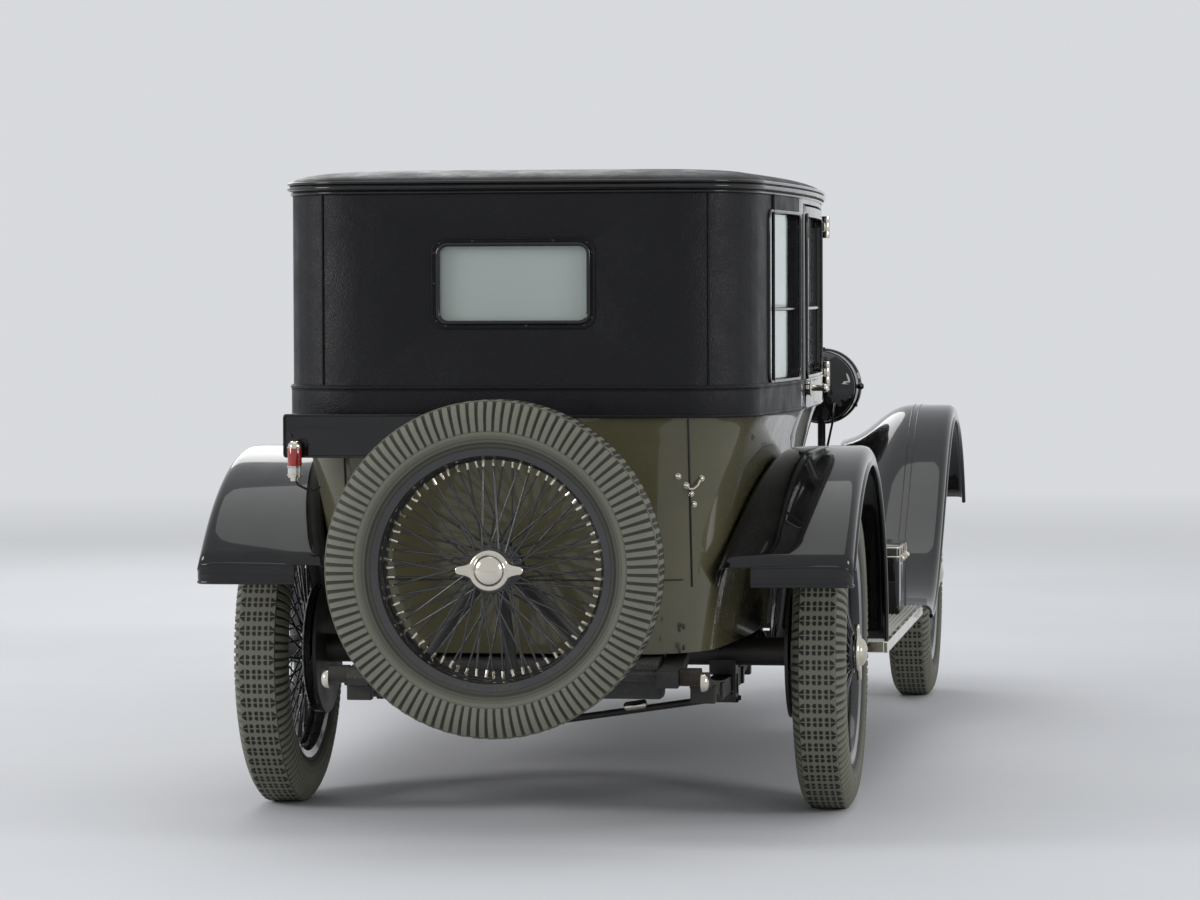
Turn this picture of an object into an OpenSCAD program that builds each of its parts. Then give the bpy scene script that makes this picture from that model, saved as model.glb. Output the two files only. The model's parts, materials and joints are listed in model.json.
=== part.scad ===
// A low two-door closed car of the 1920s: +X forward, +Y left, +Z up, in millimetres.
// The origin is on the ground, midway between the foremost and the rearmost points.
// Distances along the car in the body's modules are counted from the rear axle.

/* [Layout] */
// Distance between the axles
wheelbase = 3100; // [2900:10:3400]
// Distance between the centres of the tyres on one axle
track = 1400; // [1380:5:1460]
// From the front axle to the tips of the front wings
front_overhang = 545; // [535:5:600]
// From the rear axle to the spare wheel's nut
rear_overhang = 1070; // [1060:5:1150]

/* [Wheels] */
// Outer radius of a tyre
tyre_r = 395; // [385:1:405]
// Width of a tyre's section
tyre_w = 135; // [120:1:145]
// Radius over a rim's flanges
rim_r = 283; // [275:1:290]
// Width over a rim's flanges
rim_w = 112; // [100:1:120]
// Radius of a brake drum
drum_r = 165; // [140:1:190]
// Spokes in each of a wheel's two rows
spoke_count = 20; // [12:2:30]
// Thickness of a spoke
spoke_d = 6; // [4:0.5:8]

/* [Body] */
// Half of the body's greatest width, at the belt line
body_half_w = 620; // [600:5:640]
// Height of the belt line
belt_z = 1010; // [990:5:1030]
// Height of the lower edge of the doors
sill_z = 440; // [436:1:460]
// Height of the drip edge, where the roof starts
drip_z = 1556; // [1540:2:1620]
// Height of the roof's crown above the drip edge
roof_rise = 56; // [40:1:90]
// Distance from the rear axle back to the flat of the tail
tail_back = 690; // [670:5:730]
// Radius of the rear corners in plan
corner_r = 200; // [170:5:230]
// How far the sides draw in from the belt line down to the sill
tuck = 115; // [80:5:130]
// Thickness of doors and cabin walls
wall = 35; // [25:1:45]
// Thickness of the pressed panels
sheet_t = 4; // [3:0.5:6]
// Width of the gaps round doors and lids
gap = 6; // [5:0.5:8]

/* [Doors and windows] */
// Distance from the rear axle to a door's rear edge
door_rear = 140; // [120:5:180]
// Distance from the rear axle to a door's front edge
door_front = 1000; // [960:5:1040]
// Bottom of the side windows
window_low = 1092; // [1080:2:1120]
// Top of the side windows
window_high = 1502; // [1470:2:1506]
// Width of the rear window
rear_window_w = 360; // [300:5:420]
// Height of the rear window
rear_window_h = 182; // [150:2:220]
// Thickness of the window glass
glass_t = 6; // [4:0.5:8]

/* [Bonnet and radiator] */
// Height of the bonnet's centre line
bonnet_z = 965; // [940:5:990]
// Half width of the bonnet at the scuttle
bonnet_rear_w = 372; // [350:2:390]
// Half width of the bonnet at the radiator
bonnet_front_w = 272; // [255:1:285]
// Distance from the rear axle to the back of the bonnet
bonnet_back = 1450; // [1400:10:1500]
// Distance from the front axle back to the radiator's rear face
radiator_back = 140; // [130:5:180]
// Radius of a head lamp
lamp_r = 122; // [100:1:125]

/* [Wings] */
// Half of the car's width over the rear wings
rear_wing_y = 811; // [800:1:830]
// Half of the car's width over the front wings
front_wing_y = 836; // [820:1:850]
// Height of the rear wings
rear_wing_z = 920; // [900:2:950]
// Height of the front wings
front_wing_z = 942; // [920:2:970]
// Top of the running boards
board_z = 372; // [360:1:380]

/* [Spare wheel] */
// Height of the spare wheel's middle
spare_z = 665; // [650:5:690]

/* [Hidden] */
$fn = 64;
eps = 0.01;
fit = 0.05;      // radial clearance of a running fit
seat = 0.3;      // clearance between a rim and its tyre

// Axles
rear_x = -(wheelbase + front_overhang - rear_overhang) / 2;
front_x = rear_x + wheelbase;
wheel_y = track / 2;
axle_z = tyre_r;
kingpin_in = 150;                    // from the middle of a tyre in to its kingpin
kingpin_y = wheel_y - kingpin_in;
pin_r = 12;
stub_r = 20;
stub_out = 40;   // how far a stub reaches past the wheel's middle

// ---------- general shapes ----------

// A solid between two grids of points: rows of equal length, outside first, then inside.
// Closed rows join their last point to their first one.
function grid_faces(rows, cols, base, flip) = [
    for (r = [0 : rows - 2]) for (c = [0 : cols - 2])
        let (a = base + r * cols + c, b = a + 1, d = a + cols, e = d + 1)
        each flip ? [[a, d, b], [b, d, e]] : [[a, b, d], [b, e, d]]
];
module shell(outer, inner) {
    rows = len(outer);
    cols = len(outer[0]);
    n = rows * cols;
    points = concat([for (row = outer) each row], [for (row = inner) each row]);
    top = (rows - 1) * cols;
    edge_low = [for (c = [0 : cols - 2]) each [[c, n + c, c + 1], [c + 1, n + c, n + c + 1]]];
    edge_high = [for (c = [0 : cols - 2]) let (a = top + c)
        each [[a, a + 1, n + a], [a + 1, n + a + 1, n + a]]];
    end_a = [for (r = [0 : rows - 2]) let (a = r * cols, b = a + cols) each [[a, b, n + a], [b, n + b, n + a]]];
    end_b = [for (r = [0 : rows - 2]) let (a = r * cols + cols - 1, b = a + cols)
        each [[a, n + a, b], [b, n + a, n + b]]];
    outwards(points, concat(grid_faces(rows, cols, 0, false), grid_faces(rows, cols, n, true),
        edge_low, edge_high, end_a, end_b));
}
// A polyhedron of triangles whose faces are turned to point outwards
module outwards(points, faces) {
    six_volumes = [for (f = faces) points[f[0]] * cross(points[f[1]], points[f[2]])];
    ones = [for (v = six_volumes) 1];
    polyhedron(points, six_volumes * ones < 0 ? faces : [for (f = faces) [f[2], f[1], f[0]]]);
}
// A solid through closed rings of equal length, with flat ends
module loft(rings) {
    rows = len(rings);
    cols = len(rings[0]);
    sides = [for (r = [0 : rows - 2]) for (c = [0 : cols - 1])
        let (a = r * cols + c, b = r * cols + (c + 1) % cols, d = a + cols, e = b + cols)
        each [[a, b, d], [b, e, d]]];
    first = [for (c = [1 : cols - 2]) [0, c + 1, c]];
    last = [for (c = [1 : cols - 2]) (rows - 1) * cols * [1, 1, 1] + [0, c, c + 1]];
    outwards([for (ring = rings) each ring], concat(sides, first, last));
}
module mirrored() {
    children();
    mirror([0, 1, 0]) children();
}
module along_x(length) rotate([90, 0, 90]) linear_extrude(length) children();
module along_y(length) translate([0, length / 2, 0]) rotate([90, 0, 0]) linear_extrude(length) children();
module rod(from, to, r) {
    v = to - from;
    translate(from) rotate([0, acos(v[2] / norm(v)), atan2(v[1], v[0])]) cylinder(h = norm(v), r = r);
}
module box(low, high) translate(low) cube(high - low);
module round_rect(x0, x1, y0, y1, r) {
    corners = [[x1, y1, 0], [x0, y1, 90], [x0, y0, 180], [x1, y0, 270]];
    polygon([for (corner = corners) for (a = [0 : 15 : 90]) let (b = corner[2] + a)
        [corner[0] + r * (cos(b) - (corner[0] == x1 ? 1 : -1)),
         corner[1] + r * (sin(b) - (corner[1] == y1 ? 1 : -1))]]);
}

// ---------- the body's form ----------

widest_x = 300;          // where the body is widest
rear_draw = 45;          // how much narrower it is at the rear corners
front_draw = 36;         // and at the front of the doors
corner_x = corner_r - tail_back;
screen_x = door_front + 50;
tuck_power = 0.6;
wing_clear = rear_wing_z - axle_z + 35;      // radius of the doors' cut round the rear wings
function plan_w(x) = body_half_w - (x < widest_x
    ? rear_draw * pow((widest_x - x) / (widest_x - corner_x), 2)
    : front_draw * pow((x - widest_x) / (door_front - widest_x), 2));
function draw_in(z) = z >= belt_z ? 0 : tuck * pow((belt_z - z) / (belt_z - sill_z), tuck_power);
function body_y(x, z) = plan_w(x) - draw_in(z);
// The door's rear edge, or one set back from it: upright above, and bent forward round the wing below
function shut_x(z, back = 0) = let (reach = wing_clear - back)
    max(door_rear - back, abs(z - axle_z) >= reach ? 0 : sqrt(pow(reach, 2) - pow(z - axle_z, 2)));
// The body's side with its rounded rear corner
function corner_y(x, z) = let (draw = draw_in(z), from_centre = corner_x + draw * tail_share - x)
    from_centre <= 0 ? body_y(x, z) : plan_w(corner_x) - corner_r - draw
        + sqrt(max(0, pow(corner_r, 2) - pow(from_centre, 2)));
// Half of the plan at one height, from a front edge round to the middle of the tail
function half_plan(front, inset, draw, side_n = 8, corner_n = 8) = let (
        r = corner_r - inset, cy = plan_w(corner_x) - corner_r - draw,
        cx = corner_x + draw * tail_share) concat(
    [for (i = [0 : side_n]) let (x = front + (cx - front) * i / side_n)
        [x, plan_w(max(x, corner_x)) - inset - draw]],
    [for (i = [1 : corner_n]) let (a = 90 + 90 * i / corner_n) [cx + r * cos(a), cy + r * sin(a)]]);
function flipped(points) = [for (i = [len(points) - 1 : -1 : 0]) [points[i][0], -points[i][1]]];
function full_plan(front, inset, draw = 0) = let (half = half_plan(front, inset, draw))
    concat(half, flipped(half));
function at_z(points, z) = [for (p = points) [p[0], p[1], z]];
module plan(front, inset, draw = 0) polygon(full_plan(front, inset, draw));

// Sections of the scuttle and the bonnet: an arch over straight sides
arch_n = 20;
function arch(w, top, shoulder, power) = [for (i = [0 : arch_n]) let (a = 180 * i / arch_n)
    [w * sign(cos(a)) * pow(abs(cos(a)), 2 / power),
     shoulder + (top - shoulder) * pow(sin(a), 2 / power)]];
function at_x(points, x) = [for (p = points) [x, p[0], p[1]]];

// ---------- chassis ----------

rail_t = 50;
floor_z = 560;
floor_t = 20;
rail_rear_y = 350;
rail_front_y = 330;
rail_top = 540;
rail_low = 405;
rail_arch = 475;     // underside over the rear axle
spring_y = 427;
front_spring_y = rail_front_y + rail_t / 2;
eye_pin_r = 12;
module rail_side() {
    n = 8;
    polygon(concat(
        [[wheelbase + 455, 470], [wheelbase + 400, 478], [wheelbase - 470, 478], [wheelbase - 800, rail_low]],
        [for (i = [0 : n]) [520 - 520 * i / n,
            rail_low + (rail_arch - rail_low) * (0.5 - 0.5 * cos(180 * i / n))]],
        [[-300, rail_arch], [-440, 448], [-560, 392], [-640, 372], [-735, 366], [-745, 385], [-735, 406],
         [-640, 412], [-560, 428], [-420, 520], [-300, rail_top], [wheelbase + 100, rail_top],
         [wheelbase + 300, 528], [wheelbase + 450, 495]]));
}
module rail_plan() polygon([
    [-800, rail_rear_y], [1000, rail_rear_y], [1700, rail_front_y], [wheelbase + 500, rail_front_y],
    [wheelbase + 500, rail_front_y + rail_t], [1700, rail_front_y + rail_t], [1000, rail_rear_y + rail_t],
    [-800, rail_rear_y + rail_t]]);
module across(x, z, r, y0, y1) translate([x, y0, z]) rotate([-90, 0, 0]) cylinder(h = y1 - y0, r = r);
module frame() color("#1c1c1c") translate([rear_x, 0, 0]) {
    mirrored() difference() {
        intersection() {
            translate([0, 0, 300]) linear_extrude(400) rail_plan();
            translate([0, 500, 0]) along_y(1000) rail_side();
        }
        for (s = [-1, 1]) across(wheelbase + s * 425, front_eye_z, front_eye_r + seat, 0, 1000);
    }
    // Cross members
    across(rear_eye_x, rear_eye_z, eye_pin_r, -spring_y - 45, spring_y + 45);
    box([-380, -rail_rear_y - eps, rail_arch + 5], [-320, rail_rear_y + eps, rail_top]);
    box([520, -rail_rear_y - eps, 474], [580, rail_rear_y + eps, 534]);
    box([1080, -rail_rear_y - eps, 506], [1130, rail_rear_y + eps, 536]);
    box([wheelbase - 140, -rail_front_y - eps, 440], [wheelbase - 50, rail_front_y + eps, rad_low - 0.3]);
    across(wheelbase + 395, 500, 16, -rail_front_y, rail_front_y);
    mirrored() {
        // Hanger and pin for the front eye of a rear spring
        box([578, rail_rear_y + 20, rear_eye_z - 18], [622, rail_rear_y + rail_t - 2, rail_low + 2]);
        across(spring_x + 645, rear_eye_z, eye_pin_r, rail_rear_y + 30, spring_y + 30);
        // Brackets that carry the running boards
        for (x = [700, 1250, 1650]) {
            y = x > 1500 ? rail_front_y + 22 : rail_rear_y + 22;
            box([x - 20, y, board_z - 47], [x + 20, 700, board_z - 25]);
            box([x - 20, y, board_z - 47], [x + 20, y + 22, rail_low + 20]);
        }
        // Stay of a front wing
        rod([wheelbase - 20, rail_front_y + rail_t - 12, rail_top - 20], [wheelbase - 20, 478, 790], 9);
    }
}

// A leaf spring's side view: a bowed main leaf over a stack that steps down in length
leaf_t = 8;
module leaves(half_len, rise, count, top_z) {
    radius = (pow(half_len, 2) + pow(rise, 2)) / (2 * rise);
    function on_arc(reach, depth) = let (a = asin(reach / radius))
        [(radius + depth) * sin(a), radius - (radius + depth) * cos(a)];
    reaches = [for (i = [0 : count]) half_len * (1 - 0.8 * i / count)];
    right = [for (i = [0 : count - 1])
        each [on_arc(reaches[i], i * leaf_t), on_arc(reaches[i], (i + 1) * leaf_t)]];
    n = 8;
    translate([0, top_z]) polygon(concat(
        [for (k = [-n + 1 : n - 1]) on_arc(half_len * k / n, 0)], right,
        [for (i = [len(right) - 1 : -1 : 0]) [-right[i][0], right[i][1]]]));
}
spring_w = 50;
front_eye_r = 19;
rear_eye_r = 22;
spring_x = -45;      // middle of a rear spring, from the rear axle
front_spring_top = axle_z + 13;
front_eye_z = front_spring_top + 64;
rear_spring_top = axle_z - 59;
rear_eye_z = rear_spring_top + 54;
rear_eye_x = spring_x - 645;
module leaf_springs() color("#26241f") mirrored() {
    translate([front_x, front_spring_y, 0]) {
        along_y(spring_w) leaves(420, 70, 5, front_spring_top);
        for (s = [-1, 1]) across(s * 425, front_eye_z, front_eye_r, -spring_w / 2, spring_w / 2);
    }
    translate([rear_x + spring_x, spring_y, 0]) difference() {
        union() {
            along_y(spring_w) leaves(640, 64, 6, rear_spring_top);
            for (s = [-1, 1]) across(s * 645, rear_eye_z, rear_eye_r, -spring_w / 2, spring_w / 2);
        }
        for (s = [-1, 1]) across(s * 645, rear_eye_z, eye_pin_r + fit, -spring_w, spring_w);
    }
}

damper_r = 52;
rear_damper_z = floor_z - floor_t - damper_r - 6;
module dampers() color("#2a2927") mirrored() {
    // Rear friction dampers: discs on the frame, with an arm to the axle
    translate([rear_x, 0, 0]) {
        across(-230, rear_damper_z, damper_r, rail_rear_y + rail_t, rail_rear_y + rail_t + 30);
        rod([-230, rail_rear_y + rail_t + 22, rear_damper_z], [-42, rail_rear_y + rail_t + 22, axle_z + 14], 8);
    }
    translate([front_x, 0, 0]) {
        across(-250, 500, damper_r - 14, rail_front_y + rail_t, rail_front_y + rail_t + 30);
        rod([-250, rail_front_y + rail_t + 22, 500], [-26, rail_front_y + rail_t + 22, axle_z - 20], 8);
    }
}

module front_axle() color("#191919") translate([front_x, 0, 0]) {
    // Beam: dropped in the middle, with an eye at each end for its kingpin
    beam_t = 44;
    drop_y = 430;
    end_y = kingpin_y - 12;
    translate([-beam_t / 2, 0, 0]) along_x(beam_t) polygon([
        [-end_y, axle_z - 25], [-drop_y, axle_z - 76], [drop_y, axle_z - 76], [end_y, axle_z - 25],
        [end_y, axle_z + 25], [drop_y, axle_z - 27], [-drop_y, axle_z - 27], [-end_y, axle_z + 25]]);
    mirrored() {
        difference() {
            translate([0, kingpin_y, axle_z - 34]) cylinder(h = 68, r = 25);
            translate([0, kingpin_y, axle_z - 40]) cylinder(h = 80, r = pin_r + fit);
        }
        // Spring pad
        box([-60, front_spring_y - 28, axle_z - 45], [60, front_spring_y + 28, front_spring_top - 5 * leaf_t]);
    }
}

diff_r = 160;
module rear_axle() color("#1b1b1b") translate([rear_x, 0, axle_z]) {
    rotate([90, 0, 0]) cylinder(h = 2 * (wheel_y - 82), r = 36, center = true);
    rotate([90, 0, 0]) cylinder(h = 2 * (wheel_y + stub_out), r = stub_r, center = true);
    // Final-drive housing: a drum whose ends taper into the tubes
    rotate([90, 0, 0]) rotate_extrude() polygon([
        [0, -190], [40, -190], [70, -130], [120, -85], [diff_r - 8, -55], [diff_r, -40],
        [diff_r, 40], [diff_r - 8, 55], [120, 85], [70, 130], [40, 190], [0, 190]]);
    // Truss rod below, on a post under the housing
    post_down = 192;
    translate([0, 0, -post_down]) cylinder(h = 60, r = 14);
    mirrored() rod([0, 0, 10 - post_down], [0, spring_y + 20, -116], 9);
    mirrored() box([-32, spring_y - 34, rear_spring_top + 1.2 - axle_z], [32, spring_y + 34, -20]);
    mirrored() box([-36, spring_y - 34, -128], [36, spring_y + 34, rear_spring_top - axle_z - 6 * leaf_t]);
    mirrored() for (s = [-1, 1]) box([s * 29 - 6, spring_y + 26, -128], [s * 29 + 6, spring_y + 34, -20]);
    // Back plates of the brakes
    mirrored() translate([0, wheel_y - 94, 0]) rotate([90, 0, 0]) cylinder(h = 8, r = drum_r + 2);
    // Torque tube
    rod([60, 0, 0], [1180, 0, 70], 38);
}

module engine() color("#3a3a38") translate([rear_x, 0, 0]) {
    box([1860, -150, 420], [2760, 150, 830]);       // engine
    box([1500, -120, 400], [1860 + eps, 120, 640]);  // clutch and gearbox
    rod([1300, 0, 477], [1510, 0, 492], 60);
    // Feet on the frame
    for (x = [1950, 2560]) box([x, -rail_front_y, 470], [x + 50, rail_front_y, 500]);
}

module exhaust() color("#33302c") translate([rear_x, 0, 0]) {
    rod([2300, 290, 470], [1750, 270, 300], 24);
    rod([1760, 270, 303], [1300, 270, 300], 24);
    rod([1310, 270, 300], [700, 270, 300], 70);
    rod([705, 270, 300], [330, 270, 282], 24);
    box([2262, 150, 448], [2298, 310, 478]);
    box([1090, 255, 330], [1120, 285, 415]);
}

tank_rear = -664;
tank_front = -520;
module fuel_tank() color("#161614") translate([rear_x, 0, 0]) {
    rotate([90, 0, 0]) linear_extrude(2 * (rail_rear_y - 6), center = true)
        round_rect(tank_rear, tank_front, 330, 432, 36);
    // Straps' ears on the frame rails
    mirrored() box([-600, rail_rear_y - 8, 392], [-570, rail_rear_y, 418]);
}

// ---------- body ----------

thin_wall = 7;       // the tub below the floor
seat_lean = 8;       // degrees that the seats' backs lean
seat_back_at = [335, 0, 810];
floor_inset = thin_wall + 0.36 * (wall - thin_wall);     // the tub's wall thickens through the floor's depth
module floor() color("#3a2d20") translate([rear_x, 0, 0]) difference() {
    under = floor_z - 6;
    union() {
        // Floor boards on the frame: out to the tub's thin lower wall, and clear of the doors
        translate([0, 0, floor_z - floor_t]) linear_extrude(floor_t) union() {
            intersection() {
                plan(bonnet_back, floor_inset, draw_in(floor_z));
                translate([-600, -600]) square([600 + shut_x(floor_z) - 20, 1200]);
            }
            intersection() {
                plan(bonnet_back, wall + 14, draw_in(floor_z));
                translate([0, -600]) square([door_front + 180, 1200]);
            }
        }
        // Raised cover over the final drive
        box([-140, -160, under], [140, 160, floor_z + floor_t]);
        // Seat boxes, and the boards behind the front seats
        mirrored() box([365, 60, under], [760, 410, 660]);
        box([-470, -400, under], [-150, 400, 660]);
        mirrored() translate(seat_back_at) rotate([0, -seat_lean, 0])
            box([-14, 64, floor_z - 2 - seat_back_at[2]], [0, 406, 350]);
        // Toe board
        along_y(640) polygon([[1150, floor_z - floor_t + 2], [1150, floor_z - 2], [bonnet_back - 52, 700],
            [bonnet_back - 40, 684]]);
    }
    translate([0, 0, axle_z]) rotate([90, 0, 0]) cylinder(h = 320 - 20, r = diff_r + 8, center = true);
    column_way(34);
}

tail_share = 0.3;    // how much of the sides' draw the tail's own slope takes
// Levels that the tub and the doors are built at, closest where the shut line turns round the wing
low_zs = [for (s = [0, 0.16, 0.31, 0.44, 0.54, 0.63, 0.7, 0.757, 0.803, 0.838, 0.87, 0.912, 0.956, 0.985, 1])
    sill_z + (belt_z - sill_z) * s];
function tub_wall(z) = z < floor_z - 10 ? thin_wall : wall;
module tail_tub() color("#4d4a33") translate([rear_x, 0, 0]) shell(
    [for (z = low_zs) at_z(full_plan(shut_x(z, gap), 0, draw_in(z)), z)],
    [for (z = low_zs) at_z(full_plan(shut_x(z, gap), tub_wall(z), draw_in(z)), z)]);

door_top = drip_z - 28;
module cabin_back() color("#151516") translate([rear_x, 0, 0]) difference() {
    union() {
        translate([0, 0, belt_z]) linear_extrude(drip_z - belt_z) difference() {
            plan(door_rear - gap, 0);
            plan(door_rear, wall);
        }
        // Rails over the doors
        translate([0, 0, door_top + gap]) linear_extrude(drip_z - door_top - gap) difference() {
            plan(screen_x, 0);
            plan(screen_x + 1, wall);
        }
        // Belt moulding
        translate([0, 0, belt_z]) linear_extrude(belt_h) difference() {
            plan(door_rear - gap, -belt_out);
            plan(door_rear, 10);
        }
    }
    quarter_cut(1400);
    rear_cut(200);
}
belt_h = 70;
belt_out = 5;
quarter_rear = -400;
quarter_front = 50;
module quarter_cut(depth) along_y(depth) round_rect(quarter_rear, quarter_front, window_low, window_high, 22);
rear_window_z = 1330;
module rear_cut(depth) translate([-tail_back - depth / 2, 0, 0]) along_x(depth)
    round_rect(-rear_window_w / 2, rear_window_w / 2,
        rear_window_z - rear_window_h / 2, rear_window_z + rear_window_h / 2, 20);

roof_over = 10;
module roof() color("#1d1d1f") translate([rear_x, 0, 0]) {
    front = screen_x + 60;
    centre = [(front - tail_back) / 2, 0];
    base = full_plan(front, -roof_over);
    edge_h = 14;
    steps = [0, 0.012, 0.03, 0.06, 0.11, 0.18, 0.3, 0.5, 0.75];
    rings = concat([at_z(base, drip_z)], [for (s = steps)
        [for (p = base) [centre[0] + (p[0] - centre[0]) * (1 - s), p[1] * (1 - s),
            drip_z + edge_h + (roof_rise - edge_h) * sqrt(1 - pow(1 - s, 6))]]]);
    loft(rings);
}

screen_bar_z = 1265;
post_w = 42;
module screen_pane(grow) for (z = [[belt_z + 50, screen_bar_z - 8], [screen_bar_z + 8, drip_z - 34]])
    round_rect(-plan_w(screen_x) + post_w - grow, plan_w(screen_x) - post_w + grow,
        z[0] - grow, z[1] + grow, 10);
module windscreen_frame() color("#1a1a1b") translate([rear_x, 0, 0]) {
    low = scuttle_top(screen_x) + 2;
    translate([screen_x + 1, 0, 0]) along_x(34) difference() {
        translate([-plan_w(screen_x), low]) square([2 * plan_w(screen_x), drip_z - 0.3 - low]);
        screen_pane(0);
    }
    // Posts in line with the doors
    mirrored() box([door_front + gap, plan_w(screen_x) - wall, low],
        [screen_x + 20, plan_w(screen_x) - 0.5, door_top + gap - 1]);
    mirrored() for (z = [hinge_zs[1], hinge_zs[2]]) pillar_hinge(z, plan_w(screen_x) - 8);
}
// A door's hinge: two knuckles and a pin on the pillar, with a barrel on the door between them
hinge_zs = [760, 1085, 1486];
hinge_at = [door_front + gap / 2, plan_w(door_front) + 16];
door_pin_r = 4;
barrel_r = 9;
barrel_h = 23;
module pillar_hinge(z, y0) {
    translate([hinge_at[0], hinge_at[1], z - 30]) cylinder(h = 60, r = door_pin_r);
    for (low = [-30, barrel_h / 2 + 0.5]) {
        knuckle_h = 30 - barrel_h / 2 - 0.5;
        translate([hinge_at[0], hinge_at[1], z + low]) cylinder(h = knuckle_h, r = barrel_r);
        box([door_front + gap, y0, z + low + 0.2],
            [door_front + 30, hinge_at[1] - 3, z + low + knuckle_h - 0.2]);
    }
}
module door_barrel(z) difference() {
    union() {
        translate([hinge_at[0], hinge_at[1], z - barrel_h / 2]) cylinder(h = barrel_h, r = barrel_r);
        box([door_front - 30, body_y(door_front - 30, z - barrel_h) - 8, z - barrel_h / 2 + 0.2],
            [door_front, hinge_at[1] - 3, z + barrel_h / 2 - 0.2]);
    }
    translate([hinge_at[0], hinge_at[1], z - barrel_h]) cylinder(h = 2 * barrel_h, r = door_pin_r + fit);
}

// Plane of the side glass between two distances along the car
module side_glass(x0, x1) {
    y0 = plan_w(x0) - wall / 2;
    y1 = plan_w(x1) - wall / 2;
    intersection() {
        along_y(1400) round_rect(x0, x1, window_low, window_high, 22);
        translate([x0, y0, 0]) rotate([0, 0, atan2(y1 - y0, x1 - x0)])
            box([-20, -glass_t / 2, window_low - 20], [x1 - x0 + 20, glass_t / 2, window_high + 20]);
    }
}
module fixed_glass() color("#9fb4b8", 0.4) translate([rear_x, 0, 0]) {
    mirrored() side_glass(quarter_rear, quarter_front);
    translate([screen_x + 15, 0, 0]) along_x(glass_t) screen_pane(0);
    intersection() {
        rear_cut(200);
        translate([-tail_back + wall / 2 - glass_t / 2, 0, 0]) box([0, -500, 1000], [glass_t, 500, 1500]);
    }
}

// Scuttle: from the doors' front edge to the bonnet
scuttle_n = 6;
scuttle_t = 22;
// Its low edge rises over the frame where it narrows
function scuttle_low(x) = sill_z + (rail_top + 5 - sill_z)
    * min(1, max(0, 6 * along_scuttle(x) - 2));
function along_scuttle(x) = (x - door_front) / (bonnet_back - door_front);
function scuttle_w(x) = plan_w(door_front)
    + (bonnet_rear_w - plan_w(door_front)) * (0.5 - 0.5 * cos(180 * min(1, along_scuttle(x))));
function scuttle_top(x) = belt_z + 22 + (bonnet_z - belt_z - 22) * along_scuttle(x);
function scuttle_section(x, t, low) = let (w = scuttle_w(x), top = scuttle_top(x), blend = along_scuttle(x),
        power = 7 - 4.2 * blend, base = belt_z - 30 - 200 * blend, ring = arch(w - t, top - t, base, power))
    at_x(concat(
        [for (i = [0 : 4]) let (z = low + (base - low) * i / 5) [body_side(w, x, z) - t, z]],
        [for (p = ring) [p[0] - sign(p[0]) * (abs(p[0]) > w - t - 60 ? draw_side(x, p[1]) : 0), p[1]]],
        [for (i = [4 : -1 : 0]) let (z = low + (base - low) * i / 5) [-(body_side(w, x, z) - t), z]]), x);
function draw_side(x, z) = draw_in(z) * (1 - 0.75 * along_scuttle(x));
function body_side(w, x, z) = w - draw_side(x, z);
module scuttle() color("#4d4a33") translate([rear_x, 0, 0]) {
    start = door_front + gap;
    xs = [for (i = [0 : scuttle_n]) start + (bonnet_back - 4 - start) * i / scuttle_n];
    difference() {
        union() {
            shell([for (x = xs) scuttle_section(x, 0, scuttle_low(x))],
                [for (x = xs) scuttle_section(x, scuttle_t, scuttle_low(x))]);
            mirrored() pillar_hinge(hinge_zs[0], 506);
            // Bulkhead between the cabin and the engine
            translate([bonnet_back - 24, 0, 0]) along_x(20 - eps)
                polygon([for (p = scuttle_section(bonnet_back - 14, 12, sill_z + 120)) [p[1], p[2]]]);
            // Centre hinge of the bonnet
            translate([bonnet_back - 12, 0, bonnet_z + 1]) rotate([0, 90, 0])
                cylinder(h = rad_x - bonnet_back + 12, r = hinge_r);
        }
        column_way(34);
    }
}

module dashboard() color("#4b2f1c") translate([rear_x, 0, 0]) translate([screen_x + 40, 0, 0]) along_x(16) {
    polygon([for (p = scuttle_section(screen_x + 56, scuttle_t + 3, belt_z - 105)) [p[1], p[2]]]);
}

// ---------- seats ----------

seat_z = 661;                  // underside of the seats' cushions, on their boxes
front_seat_y = [50, 515 - wall];
rear_seat_y = 430;
// A block with rounded upright edges
module cushion(low, high, r) translate([0, 0, low[2]]) linear_extrude(high[2] - low[2])
    round_rect(low[0], high[0], low[1], high[1], r);
module front_seats() color("#2b1d14") translate([rear_x, 0, 0]) mirrored() {
    cushion([376, front_seat_y[0], seat_z], [800, front_seat_y[1], 800], 50);
    translate(seat_back_at) rotate([0, -seat_lean, 0])
        cushion([1, front_seat_y[0], 0], [106, front_seat_y[1], 370], 40);
}
module rear_seat() color("#2b1d14") translate([rear_x, 0, 0]) {
    cushion([-480, -rear_seat_y, seat_z], [-40, rear_seat_y, 790], 50);
    translate([-475, 0, 800]) rotate([0, -seat_lean, 0])
        cushion([-20, -rear_seat_y, 0], [90, rear_seat_y, 340], 40);
}

// ---------- steering ----------

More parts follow.
